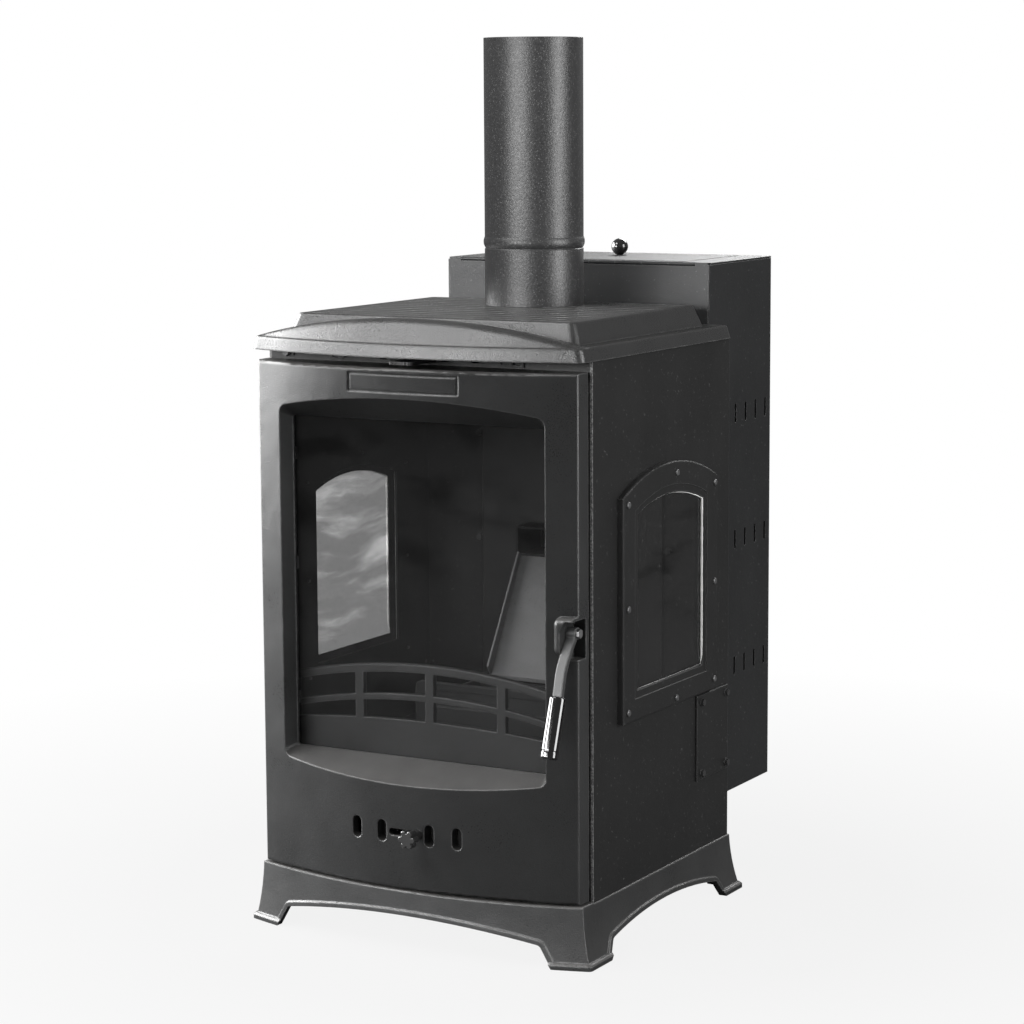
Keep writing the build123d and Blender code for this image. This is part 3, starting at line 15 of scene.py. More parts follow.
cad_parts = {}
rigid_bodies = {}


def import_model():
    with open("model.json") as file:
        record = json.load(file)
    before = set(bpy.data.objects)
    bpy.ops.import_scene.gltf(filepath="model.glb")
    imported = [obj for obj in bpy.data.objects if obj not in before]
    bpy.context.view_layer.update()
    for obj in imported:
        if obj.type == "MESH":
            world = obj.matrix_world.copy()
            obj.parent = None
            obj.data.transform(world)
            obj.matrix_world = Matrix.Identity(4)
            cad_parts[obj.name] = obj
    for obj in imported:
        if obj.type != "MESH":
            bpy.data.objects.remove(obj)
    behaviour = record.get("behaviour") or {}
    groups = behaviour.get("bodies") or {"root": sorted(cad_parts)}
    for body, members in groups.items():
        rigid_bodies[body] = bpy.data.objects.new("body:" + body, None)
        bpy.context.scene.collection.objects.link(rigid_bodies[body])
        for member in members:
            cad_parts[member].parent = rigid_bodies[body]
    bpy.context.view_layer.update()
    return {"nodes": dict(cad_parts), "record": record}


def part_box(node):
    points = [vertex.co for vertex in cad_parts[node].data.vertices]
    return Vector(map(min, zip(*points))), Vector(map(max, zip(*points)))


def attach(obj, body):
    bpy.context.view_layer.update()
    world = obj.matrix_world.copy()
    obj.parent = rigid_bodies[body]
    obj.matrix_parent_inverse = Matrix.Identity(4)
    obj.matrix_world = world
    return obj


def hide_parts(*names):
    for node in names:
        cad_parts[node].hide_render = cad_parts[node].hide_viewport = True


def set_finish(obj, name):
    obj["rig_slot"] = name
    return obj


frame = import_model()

nodes = frame["nodes"]

# %% [markdown]
# Drawing places.
# The stove was drawn with y = 0 on the body's front sheet, and the frame has since moved it so that
# its box is centred. One function turns a drawing place in millimetres into a frame place in metres,
# and the shift is read from a node, so a new frame needs no edit here. Lengths below are in metres,
# but drawing places, and the panes' outline that is drawn with them, are in millimetres.

# %% From drawing places to frame places
MM_PER_M = 1000
DATUM_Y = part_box("body_side_right")[0].y


def place(x, y, z):
    """Frame place of a drawing place: each number over a thousand, y moved by the datum."""
    return Vector((x / MM_PER_M, y / MM_PER_M + DATUM_Y, z / MM_PER_M))


print("drawing datum lies at y =", round(DATUM_Y, 4))

# %% [markdown]
# Surfaces from numbers.
# A braided seal, a strip of tape or a turned grip is a sheet of points bent into shape: one number
# runs along the piece and a second one round it. Working out the whole sheet as one array is quick,
# and it leaves an even grid that takes a pattern well. The alternative, sculpting or extruding by
# hand, would be hard to repeat for the second window. These helpers turn such a sheet into a mesh.

# %% A mesh from a grid of points


def sheet_faces(rows, columns, loop_rows, loop_columns, start):
    """Corner numbers of the quads between neighbouring points; a looped side joins last to first."""
    i = np.arange(rows if loop_rows else rows - 1)[:, None]
    j = np.arange(columns if loop_columns else columns - 1)[None, :]
    i_next, j_next = (i + 1) % rows, (j + 1) % columns
    corners = [i * columns + j, i_next * columns + j, i_next * columns + j_next, i * columns + j_next]
    return start + np.stack([np.broadcast_to(c, (i.size, j.size)) for c in corners], -1).reshape(-1, 4)


def in_scene(name, data):
    """An object of that name around a mesh, a lamp or a camera, linked into the scene."""
    thing = bpy.data.objects.new(name, data)
    bpy.context.scene.collection.objects.link(thing)
    return thing


def mesh_piece(name, sheets):
    """One object from several sheets. Each is (points[rows, columns, 3], loop_rows, loop_columns)."""
    points, faces, count = [], [], 0
    for grid, loop_rows, loop_columns in sheets:
        rows, columns = grid.shape[:2]
        faces.append(sheet_faces(rows, columns, loop_rows, loop_columns, count))
        points.append(grid.reshape(-1, 3))
        count += rows * columns
    points, faces = np.concatenate(points), np.concatenate(faces)
    mesh = bpy.data.meshes.new(name)
    mesh.vertices.add(len(points))
    mesh.vertices.foreach_set("co", points.astype(np.float32).ravel())
    mesh.loops.add(faces.size)
    mesh.loops.foreach_set("vertex_index", faces.astype(np.int32).ravel())
    mesh.polygons.add(len(faces))
    mesh.polygons.foreach_set("loop_start", np.arange(0, faces.size, 4, dtype=np.int32))
    mesh.polygons.foreach_set("use_smooth", np.ones(len(faces), bool))
    mesh.update(calc_edges=True)
    mesh.validate()
    print(name, "faces", len(faces))
    return in_scene(name, mesh)


# %% [markdown]
# Paths for seals.
# A seal follows the edge of a door or a pane. Its path is a list of corner points with arcs between
# them, walked at an even pace, so that a braid keeps its pitch round the corners.

# %% Paths walked at an even pace
CORNER_STEPS = 14


def corner_arc(centre, radius, start, end, count=CORNER_STEPS):
    """Points on a circle: centre plus radius times cosine and sine of angles from start to end."""
    angle = np.radians(np.linspace(start, end, count))
    return np.stack([centre[0] + radius * np.cos(angle), centre[1] + radius * np.sin(angle)], -1)


def rounded_ring(low, high, radius):
    """Corner points of a rectangle with round corners, walked against the clock."""
    (x0, z0), (x1, z1) = low, high
    return np.vstack([corner_arc((x1 - radius, z0 + radius), radius, -90, 0),
                      corner_arc((x1 - radius, z1 - radius), radius, 0, 90),
                      corner_arc((x0 + radius, z1 - radius), radius, 90, 180),
                      corner_arc((x0 + radius, z0 + radius), radius, 180, 270)])


def even_path(corners, count):
    """The closed line through corners cut into equal steps, the unit vector pointing out at each step,
    which is the step's direction turned by a right angle, and the line's length."""
    closed = np.vstack([corners, corners[:1]])
    length = np.concatenate([[0], np.cumsum(np.linalg.norm(np.diff(closed, axis=0), axis=1))])
    along = np.linspace(0, length[-1], count, endpoint=False)
    path = np.stack([np.interp(along, length, closed[:, k]) for k in (0, 1)], -1)
    ahead = np.roll(path, -1, axis=0) - np.roll(path, 1, axis=0)
    ahead /= np.linalg.norm(ahead, axis=1)[:, None]
    return path, np.stack([ahead[:, 1], -ahead[:, 0]], -1), length[-1]


trial_length = even_path(rounded_ring((0, 0), (40, 60), 5), 400)[2]
print("a ring of 40 by 60 mm is", round(trial_length, 1), "mm round")

# %% [markdown]
# Bands carried round a path.
# Rope, tape and cement are all one thing to a mesh: a small closed section that travels round a ring.
# The section says how far each of its points lies out from the path and how far across it, and both
# may change along the way. One function does the carrying for the door and for the side panes.

# %% A section carried round a ring


def full_turn(count, turns=1):
    """Angles of equal steps through whole turns; the end is left out, as it is the start again."""
    return np.linspace(0, 2 * np.pi * turns, count, endpoint=False)


def ring_sheet(path, outward, axis, along_out, level):
    """Points of a band round an upright ring: path plus outward times along_out, and level across it.

    The path's first number lies on that axis, 0 for x or 1 for y, and its second one on z."""
    shape = np.broadcast_shapes((len(path), 1), along_out.shape, level.shape)
    points = np.empty((*shape, 3))
    points[..., axis] = path[:, :1] + outward[:, :1] * along_out
    points[..., 2] = path[:, 1:] + outward[:, 1:] * along_out
    points[..., 1 - axis] = level
    return points


print("angles of four steps:", full_turn(4).round(2))

# %% [markdown]
# The door's rope seal.
# A stove door closes on a knitted glass-fibre rope, pressed into a groove. In the picture it shows as
# a beaded line down the door's open edge. A noise bump would look like grit, so the strands are real
# here: two families of strands wind round the rope, one each way, and the higher one is on top.

# %% The rope seal
ROPE_WIDTH = 0.0066
STRAND_PITCH = 0.0048
STRANDS = 3
STRAND_SWELL = 0.07
ROPE_CORNER = 0.004
ROPE_STEPS = 2600
ROPE_ROUND = 14
SQUARENESS = 2.6  # 2 gives a circle, more a squarer section


def braided_ring(box, name):
    """Rope of a flattened round section round a rectangular ring.

    The section is a circle pressed towards a square by the sum of the powers of cosine and sine, and
    it swells by the greater of two waves, which wind round it in opposite ways."""
    low, high = box
    half, depth = ROPE_WIDTH / 2, (high.y - low.y) / 2
    ring = rounded_ring((low.x + half, low.z + half), (high.x - half, high.z - half), ROPE_CORNER)
    path, outward, length = even_path(ring, ROPE_STEPS)
    s = full_turn(len(path), round(length / STRAND_PITCH))[:, None]
    t = full_turn(ROPE_ROUND)
    strands = np.maximum(np.cos(s + STRANDS * t), np.cos(s - STRANDS * t))
    swell = 1 - STRAND_SWELL + STRAND_SWELL * strands
    pressed = np.abs(np.cos(t)) ** SQUARENESS + np.abs(np.sin(t)) ** SQUARENESS
    reach = swell * pressed ** (-1 / SQUARENESS)
    level = (low.y + high.y) / 2 - depth * reach * np.sin(t)
    points = ring_sheet(path, outward, 0, half * reach * np.cos(t), level)
    return mesh_piece(name, [(points, True, True)])


rope = braided_ring(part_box("door_rope"), "rope_seal")
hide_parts("door_rope")
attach(rope, "door")
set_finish(rope, "fibre_rope")

# %% [markdown]
# Flat tape behind the door glass.
# Glass never sits on iron directly: a flat woven tape lies between them. It is a thin band with a
# slightly wavy face, carried round the pane. Its section is a long box with soft corners, which two
# waves raised to a power below one draw in a single line of code.

# %% The glass tape
TAPE_WIDTH = 0.0075
TAPE_CORNER = 0.003
TAPE_STEPS = 900
TAPE_ROUND = 18
TAPE_FILL = 0.98  # share of the groove's depth that the tape takes up
BOXY = 0.4  # 1 gives an ellipse, less a boxier section
WEAVE_PITCH = 0.006
WEAVE_DEPTH = 0.06
WEAVE_ACROSS = 14


def tape_section(width, thick):
    """A flat band's section: half a side times cosine or sine, each raised to a power below one."""
    t = full_turn(TAPE_ROUND)
    out, level = (np.sign(wave) * np.abs(wave) ** BOXY for wave in (np.cos(t), np.sin(t)))
    return width / 2 * out, thick * TAPE_FILL / 2 * level


def tape_ring(box, name):
    """Woven tape round a pane: the section carried round, its level times a fine weave of two sines."""
    low, high = box
    half = TAPE_WIDTH / 2
    ring = rounded_ring((low.x + half, low.z + half), (high.x - half, high.z - half), TAPE_CORNER)
    path, outward, length = even_path(ring, TAPE_STEPS)
    out, level = tape_section(TAPE_WIDTH, high.y - low.y)
    s = full_turn(len(path), round(length / WEAVE_PITCH))[:, None]
    weave = 1 - WEAVE_DEPTH * (1 + np.sin(s) * np.sin(out / TAPE_WIDTH * WEAVE_ACROSS))
    points = ring_sheet(path, outward, 0, out, (low.y + high.y) / 2 - level * weave)
    return mesh_piece(name, [(points, True, True)])


tape = tape_ring(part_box("door_glass_gasket"), "glass_tape")
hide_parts("door_glass_gasket")
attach(tape, "door")
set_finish(tape, "fibre_rope")

# %% [markdown]
# The outline of a side pane.
# The side panes have a square foot and a flat arch for a head. Tape and the pale bead both follow that
# outline, one a little outside it and one just on it, so it is worked out once and grown as needed.

# %% The arched outline
PANE_HALF = 91.7
PANE_FOOT = 325.0
PANE_SPRING = 544.0
PANE_RISE = 17.0
PANE_MIDDLE = 198.5
SPRING_SHARE = 0.6  # of each millimetre grown, how much lifts the arch's ends
RISE_SHARE = 0.4  # and how much raises its crown above them
ARCH_STEPS = 60


def arch_ring(grow):
    """Pane outline grown by so many millimetres, as y and z, walked against the clock.

    The arch's radius is the half width squared plus the rise squared, over twice the rise."""
    half = PANE_HALF + grow
    spring = PANE_SPRING + SPRING_SHARE * grow
    rise = PANE_RISE + RISE_SHARE * grow
    radius = (half * half + rise * rise) / (2 * rise)
    sweep = math.degrees(math.asin(half / radius))
    head = corner_arc((0, spring + rise - radius), radius, 90 - sweep, 90 + sweep, ARCH_STEPS)
    foot = [[-half, PANE_FOOT - grow], [half, PANE_FOOT - grow]]
    outline = np.vstack([foot, head]) / MM_PER_M
    outline[:, 0] += place(0, PANE_MIDDLE, 0).y
    return outline


print("a pane's outline has", len(arch_ring(0)), "corners")

# %% [markdown]
# The pale line round the side panes.
# Behind each arched pane lies a flat tape. Where pane and frame meet, a pale bead is a painted
# highlight: it stands for the light caught by the frame's inner lip. It is full on the rear jamb,
# thins out over the arch and is a hair elsewhere. Its width wanders a little, like a bead pressed in
# by hand.

# %% The side panes' tape and highlight bead
SIDE_TAPE_GROW, SIDE_TAPE_WIDTH, SIDE_TAPE_STEPS = 12.2, 0.0052, 700
BEAD_GROW, BEAD_STEPS, BEAD_ROUND = -0.1, 900, 10
BEAD_IN, BEAD_HIGH, BEAD_LIFT = 0.0007, 0.0016, 0.0019
HAIR = 0.12  # the bead's least share of its full size
REAR_FROM, REAR_FADE = 0.004, 0.070
FOOT_FROM, FOOT_FADE = 0.002, 0.010
WANDERS = ((0.08, 23, 1), (0.05, 61, 0), (0.04, 127, 2))  # size, waves round the pane, shift


def ramp_up(values, start, length):
    """Nought before start, one after start plus length, straight in between."""
    return np.clip((values - start) / length, 0, 1)


def side_tape(side, sign):
    """Points of the flat tape behind one side pane."""
    low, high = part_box(f"side_gasket_{side}")
    path, outward = even_path(arch_ring(SIDE_TAPE_GROW), SIDE_TAPE_STEPS)[:2]
    out, level = tape_section(SIDE_TAPE_WIDTH, high.x - low.x)
    return ring_sheet(path, outward, 1, out, (low.x + high.x) / 2 + sign * level)


def highlight_bead(side, sign):
    """Points of the bead on one side pane's outer face.

    Its section reaches inwards by one less the cosine, and off the glass by the sine plus a lift.
    Both are times a share: a hair, which grows to one towards the rear and above the foot. The
    section is also times a wander: one plus three small waves of different length."""
    low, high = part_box(f"side_glass_{side}")
    face = high.x if side == "right" else low.x
    path, outward = even_path(arch_ring(BEAD_GROW), BEAD_STEPS)[:2]
    foot = place(0, PANE_MIDDLE, PANE_FOOT)
    # The bead is a painted highlight, full where the frame's inner lip catches the light: towards the
    # rear and above the foot.
    rearward = ramp_up(path[:, :1], foot.y + REAR_FROM, REAR_FADE)
    above_foot = ramp_up(path[:, 1:], foot.z + FOOT_FROM, FOOT_FADE)
    share = HAIR + (1 - HAIR) * rearward * above_foot
    s = full_turn(len(path))[:, None]
    wander = share * sum((size * np.sin(waves * s + shift) for size, waves, shift in WANDERS), 1)
    t = full_turn(BEAD_ROUND)
    inward = -BEAD_IN * wander * (1 - np.cos(t))
    height = BEAD_HIGH * wander * np.sin(t) + BEAD_LIFT * share
    return ring_sheet(path, outward, 1, inward, face + sign * height)


def pane_seal(side, name):
    """Tape and bead of one side as one piece; on the left, its mirror image, both run the other way."""
    sign = 1 if side == "right" else -1
    sections = side_tape(side, sign)[:, ::sign], highlight_bead(side, sign)[:, ::-sign]
    return mesh_piece(name, [(points, True, True) for points in sections])


for side in ("right", "left"):
    seal = pane_seal(side, f"pane_seal_{side}")
    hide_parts(f"side_gasket_{side}")
    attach(seal, "frame")
    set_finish(seal, "fibre_rope")

# %% [markdown]
# A surface of revolution.
# A lathe turns a bar against a tool, and the computer does the same with a profile: a list of radii
# at given lengths, carried once round an axis. Where the radius is nought, a whole ring of points
# meets in one place, and merging them closes the end.

# %% A profile spun about an axis
SPUN_AROUND = 64
SAME_PLACE = 1e-6


def spun(name, start, axis, radius, length):
    """Surface of revolution: start plus axis times length plus radius times a turning unit vector."""
    axis = np.array(axis, float)
    side = np.cross(axis, (1.0, 0, 0))
    side /= np.linalg.norm(side)
    other = np.cross(side, axis)
    t = full_turn(SPUN_AROUND)[None, :, None]
    ring = np.cos(t) * side + np.sin(t) * other
    points = np.array(start) + axis * length[:, None, None] + ring * radius[:, None, None]
    piece = mesh_piece(name, [(points, False, True)])
    shell = bmesh.new()
    shell.from_mesh(piece.data)
    bmesh.ops.remove_doubles(shell, verts=shell.verts, dist=SAME_PLACE)
    shell.to_mesh(piece.data)
    shell.free()
    print(name, "closed at its ends, points", len(piece.data.vertices))
    return piece


# %% [markdown]
# The handle's grip.
# It is a steel tube, turned and polished, that stays cooler than the lever. Its profile has a small
# roll and a shallow dish at both ends, one faint ring near the lower end and a hair more girth in the
# middle. A plain cylinder would mirror the lamps in unbroken lines, and the ring and rolls break them.

# %% The turned grip
GRIP_TOP = (220.2, -65, 344)
GRIP_LEAN = math.radians(19)
GRIP_LONG = 0.075
GRIP_RADIUS, GRIP_BULGE = 0.0109, 0.0001
ROLL_LONG, ROLL_SHARE, ROLL_STEPS = 0.0022, 0.20, 9
BODY_FROM, BODY_STEPS = 0.0026, 150
RING_AT, RING_DEEP, RING_WIDE = 0.0660, 0.0002, 0.0009
DISH_DEPTH = np.array([0.0007, 0.0002, 0])
DISH_RADIUS = np.array([0, 0.0058, 0.0082])


def grip_profile():
    """Radius and length along the grip, in metres: dished and rolled ends, a fuller middle, one ring.

    The roll is a quarter of a circle, the bulge half a sine wave and the ring a bell curve."""
    s = np.concatenate([np.linspace(0, ROLL_LONG, ROLL_STEPS),
                        np.linspace(BODY_FROM, GRIP_LONG - BODY_FROM, BODY_STEPS),
                        np.linspace(GRIP_LONG - ROLL_LONG, GRIP_LONG, ROLL_STEPS)])
    from_end = np.clip(np.minimum(s, GRIP_LONG - s) / ROLL_LONG, 0, 1)
    roll = np.sqrt(np.clip(1 - (1 - from_end) ** 2, 0, 1))
    body = GRIP_RADIUS + GRIP_BULGE * np.sin(np.pi * s / GRIP_LONG)
    ring = RING_DEEP * np.exp(-((s - RING_AT) / RING_WIDE) ** 2)
    radius = (body - ring) * (1 - ROLL_SHARE + ROLL_SHARE * roll)
    length = np.concatenate([DISH_DEPTH, s, GRIP_LONG - DISH_DEPTH[::-1]])
    return np.concatenate([DISH_RADIUS, radius, DISH_RADIUS[::-1]]), length


grip_radius, grip_length = grip_profile()
grip_axis = (0, -math.sin(GRIP_LEAN), -math.cos(GRIP_LEAN))
grip = spun("grip_turned", place(*GRIP_TOP), grip_axis, grip_radius, grip_length)
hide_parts("handle_grip")
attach(grip, "handle")
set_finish(grip, "polished_steel")

# %% [markdown]
# Reading a CAD node's mesh.
# A CAD node's mesh is loose triangles that share no points, with one surface direction stored at each
# corner. To reshape a copy of it, the points are merged first, and the directions are read as well,
# because they keep round parts round and flat parts flat.

# %% Points, faces and directions of a CAD mesh
MICROMETRE_DIGITS = 6


def read_rows(rows, name, width, kind=float):
    """All values of one attribute as an array, that many numbers to the row."""
    values = np.empty(len(rows) * width, kind)
    rows.foreach_get(name, values)
    return values.reshape(-1, width)


def merged_mesh(mesh):
    """Points merged to the micrometre, triangles as point numbers, and a direction for each corner.

    Triangles of which two corners merged are left out."""
    points = read_rows(mesh.vertices, "co", 3)
    corners = read_rows(mesh.loops, "vertex_index", 1, int)[:, 0]
    normals = read_rows(mesh.corner_normals, "vector", 3).reshape(-1, 3, 3)
    points, number = np.unique(points.round(MICROMETRE_DIGITS), axis=0, return_inverse=True)
    faces = number.reshape(-1)[corners].reshape(-1, 3)
    whole = (faces != np.roll(faces, 1, axis=1)).all(axis=1)
    return points, faces[whole], normals[whole]


print("the top plate's mesh has", len(nodes["top_plate"].data.vertices), "loose points")

# %% [markdown]
# The crest leans back.
# On the real casting the arched crest over the door isn't upright: its face leans back like the
# slope of the tier behind it, so both catch the same light. The drawing has it upright, so the
# picture's top plate is a merged copy in which the crest is pushed back in step with its height.
# A push like that also turns the surface directions, and the same sum turns them here.

# %% The top plate with its leaning crest
CREST_FOOT = 761.0
CREST_BEHIND = 2.0
CREST_LEAN = 0.55  # how far back for each step up
LEAST_PUSH = 1e-5


def leaned_plate(source, name):
    """Copy with y moved back by the lean times the height above the crest's foot.

    A direction's z loses the lean times its y, and its length is made one again."""
    points, faces, normals = merged_mesh(source.data)
    foot = place(0, CREST_BEHIND, CREST_FOOT)
    height = np.where(points[:, 1] < foot.y, np.clip(points[:, 2] - foot.z, 0, None), 0)
    pushed = (height[faces] > LEAST_PUSH).any(axis=1)
    points[:, 1] += CREST_LEAN * height
    normals[pushed, :, 2] -= CREST_LEAN * normals[pushed, :, 1]
    normals /= np.linalg.norm(normals, axis=2, keepdims=True)
    copy = bpy.data.meshes.new(name)
    copy.from_pydata(points.tolist(), [], faces.tolist())
    copy.polygons.foreach_set("use_smooth", np.ones(len(faces), bool))
    copy.normals_split_custom_set(normals.reshape(-1, 3).tolist())
    print(name, "faces", len(faces), "of them on the crest", int(pushed.sum()))
    return in_scene(name, copy)


plate = leaned_plate(nodes["top_plate"], "plate_with_leaning_crest")
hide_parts("top_plate")
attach(plate, "frame")
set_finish(plate, "grey_casting")

# %% [markdown]
# Shader sums.
# A finish is a sum: base colour plus grain, less dust, plus bare metal on the edges. Written as node
# calls such a sum is unreadable, so one small class wraps a socket and lets Python's own signs add
# the Math nodes. Python turns to the reflected forms where the number comes first, as in 1 - mask.

# %% A class for shader sums


class Value:
    """A socket's output. Python's signs between Values and numbers add Math nodes."""

    def __init__(self, tree, socket):
        self.tree = tree
        self.socket = socket

    def math(self, operation, left, right, clamp=False):
        settings = {"operation": operation, "use_clamp": clamp}
        return self.tree.node("ShaderNodeMath", settings, {0: left, 1: right})

    def __add__(self, other):
        return self.math("ADD", self, other)

    def __sub__(self, other):
        return self.math("SUBTRACT", self, other)

    def __rsub__(self, other):
        return self.math("SUBTRACT", other, self)

    def __mul__(self, other):
        return self.math("MULTIPLY", self, other)

    def __truediv__(self, other):
        return self.math("DIVIDE", self, other)

    def __rtruediv__(self, other):
        return self.math("DIVIDE", other, self)

    def __pow__(self, other):
        return self.math("POWER", self, other)

    def __rpow__(self, other):
        return self.math("POWER", other, self)

    def __or__(self, other):
        """Of two masks the higher one."""
        return self.math("MAXIMUM", self, other)

    __radd__ = __add__
    __rmul__ = __mul__
    __ror__ = __or__

    def clamp(self):
        """No less than nought and no more than one."""
        return self.math("ADD", self, 0.0, clamp=True)

    def above(self, edge, soft):
        """Nought below edge, one above edge plus soft, straight in between."""
        return ((self - edge) / soft).clamp()


print("operators on a Value: + - * / ** |")

# %% [markdown]
# One method for every node.
# Materials and the world are both trees of nodes. Adding a node is always the same three steps: make
# it, choose its settings, and give its sockets numbers or links. Settings come first, because some of
# them change which sockets there are.

# %% A tree of nodes


class NodeTree:
    """The nodes of a material or of the world."""

    def __init__(self, owner):
        owner.use_nodes = True
        self.tree = owner.node_tree
        self.tree.nodes.clear()

    def node(self, kind, settings=None, values=None, out=0):
        """Adds a node and returns one of its outputs, or nothing where it has none."""
        made = self.tree.nodes.new(kind)
        for key, setting in (settings or {}).items():
            setattr(made, key, setting)
        for key, value in (values or {}).items():
            if isinstance(value, Value):
                self.tree.links.new(value.socket, made.inputs[key])
            else:
                made.inputs[key].default_value = value
        return Value(self, made.outputs[out]) if made.outputs else None

    def ray(self, kind):
        """One for rays of that kind, such as Camera or Glossy, nought for others."""
        return self.node("ShaderNodeLightPath", out=f"Is {kind} Ray")


print("a tree has the method node, and ray for the background")

# %% [markdown]
# What all finishes share.
# Every finish reads Object coordinates, which are metres on the stove itself, so a grain keeps its
# real size on every piece. The Bevel node gives the direction that a surface would have if its sharp
# CAD edges were rounded. Where that differs from the true direction there is an edge: paint there is
# thin, and it is also where a painted highlight goes. A Mix node has sockets for numbers, vectors and
# colours side by side, so the ones that it uses for colours are named by their numbers here.

# %% The tools of a finish
MIX_FACTOR, MIX_FIRST, MIX_SECOND, MIX_RESULT = 0, 6, 7, 2
BEVEL_SAMPLES = 6
EDGE_GAIN = 3.2
X, Y, Z = 0, 1, 2
BLACK = (0, 0, 0)


def neutral(level):
    """Red, green and blue of a grey."""
    return (level, level, level)


class Finish(NodeTree):
    """One material, its nodes and the tools that make them."""

    def __init__(self, name):
        self.material = bpy.data.materials.new(name)
        super().__init__(self.material)
        self.spot = self.node("ShaderNodeTexCoord", out="Object")

    def noise(self, scale, detail=2.0, rough=0.5, spot=None, stretch=None):
        """Noise of that many features to the metre, stretched along an axis where asked."""
        spot = spot or self.spot
        if stretch:
            spot = self.node("ShaderNodeMapping", {}, {"Vector": spot, "Scale": stretch})
        values = {"Vector": spot, "Scale": scale, "Detail": detail, "Roughness": rough}
        return self.node("ShaderNodeTexNoise", {}, values)

    def colour(self, mask, first, second):
        """Mix of two colours by a mask; each is a Value or red, green and blue."""
        first, second = (c if isinstance(c, Value) else (*c, 1) for c in (first, second))
        settings = {"data_type": "RGBA", "clamp_factor": True}
        values = {MIX_FACTOR: mask, MIX_FIRST: first, MIX_SECOND: second}
        return self.node("ShaderNodeMix", settings, values, out=MIX_RESULT)

    def shaded(self, shade, base):
        """The base colour times a shade that wavers round one: a mix from black to twice the base."""
        return self.colour(shade * 0.5, BLACK, tuple(2 * part for part in base))

    def part(self, vector, axis):
        """One number of a place or a direction."""
        return self.node("ShaderNodeSeparateXYZ", {}, {0: vector}, out=axis)

    def direction(self):
        """The true direction that the surface faces."""
        return self.node("ShaderNodeNewGeometry", out="Normal")

    def eased(self, radius):
        """The direction that the surface would face if its edges were rounded by that radius."""
        return self.node("ShaderNodeBevel", {"samples": BEVEL_SAMPLES}, {"Radius": radius})

    def edges(self, eased):
        """One on edges, nought on flats: a gain times one less the dot product of both directions."""
        values = {0: eased, 1: self.direction()}
        same = self.node("ShaderNodeVectorMath", {"operation": "DOT_PRODUCT"}, values, out="Value")
        return ((1 - same) * EDGE_GAIN).clamp()

    def facing_up(self):
        """One on level tops, nought on walls."""
        return self.part(self.direction(), Z).clamp()

    def bump(self, height, strength, distance, under=None):
        """Direction tilted by a height pattern, on top of another direction where one is given."""
        values = {"Height": height, "Strength": strength, "Distance": distance}
        if under is not None:
            values["Normal"] = under
        return self.node("ShaderNodeBump", {}, values)

    def surface(self, values):
        """Ends the tree with a Principled shader and returns the finished material."""
        self.finish_with(self.node("ShaderNodeBsdfPrincipled", {}, values))
        return self.material

    def finish_with(self, shader):
        """Links a shader to the material's output."""
        self.node("ShaderNodeOutputMaterial", {}, {"Surface": shader})


print("tools of a finish: noise, colour, shaded, eased, edges, facing_up, bump, surface")

# %% [markdown]
# Grey stove paint on castings.
# Sand-cast iron keeps the sand's grain, and stove paint dries to a dull sheen over it. Three scales
# matter: grain of about a millimetre that breaks up highlights, slow waves of a few centimetres from
# the mould, and the edges, where the paint is thin and rubbed lighter, and where a painted highlight
# lightens them more, as rounded edges would catch the lamps. Dust settles on the level tops of plinth
# and top plate, and it is partly painted light there: it lightens tops that face the lamps, such as
# the door's sill. The same recipe, smoother and without dust, gives the lever and its keeper, the
# fence and the dark iron of the fire chamber.

# %% Paint on castings
CAST_TINT = (0.985, 1.0, 1.01)
RUBBED_AND_HIGHLIT_CASTING = neutral(0.27)
DUST_AND_TOP_LIGHT = (0.16, 0.155, 0.15)


def cast_paint(name, grey, sheen, edge_wear_and_highlight, grain, dust=0.0, sand_size=900):
    """Base grey varied by slow and fine noise, lifted on edges by wear and painted highlight, on tops by
    dust and painted light.

    The roughness is one less the sheen, varied by the same noises and a little lower where worn."""
    finish = Finish(name)
    eased = finish.eased(0.0030)
    sand = finish.noise(sand_size, 2.0, 0.6)
    pits = finish.noise(sand_size * 0.42)
    waves = finish.noise(16, 2.0, 0.45)
    rub = finish.noise(85, 3.0, 0.6).above(0.42, 0.3)
    # Edges are lighter partly from wear and partly as a painted highlight, the light that rounded edges
    # catch.
    worn_and_highlit = (finish.edges(eased) * (rub * 0.7 + 0.3)).clamp()
    shade = (waves - 0.5) * 0.34 + (sand - 0.5) * 0.55 + 1.0
    paint = finish.shaded(shade, [grey * part for part in CAST_TINT])
    paint = finish.colour(worn_and_highlit * edge_wear_and_highlight, paint, RUBBED_AND_HIGHLIT_CASTING)
    # Pale dust on level tops, partly real dust and partly painted light: it lightens tops that face the
    # lamps, such as the door's sill.
    if dust:
        patches = finish.noise(30, 4.0, 0.6).above(0.35, 0.4) * 0.35 + 0.65
        paint = finish.colour(finish.facing_up() * patches * dust, paint, DUST_AND_TOP_LIGHT)
    rough = (1.0 - sheen) + (waves - 0.5) * 0.22 + (sand - 0.5) * 0.30 - worn_and_highlit * 0.08
    fine = finish.bump(sand * 0.75 + pits * 0.25, grain, 0.0009, eased)
    slow = finish.bump(waves, 0.35, 0.0035, fine)
    return finish.surface({"Base Color": paint, "Roughness": rough.clamp(), "Normal": slow,
                           "Specular IOR Level": 0.55})


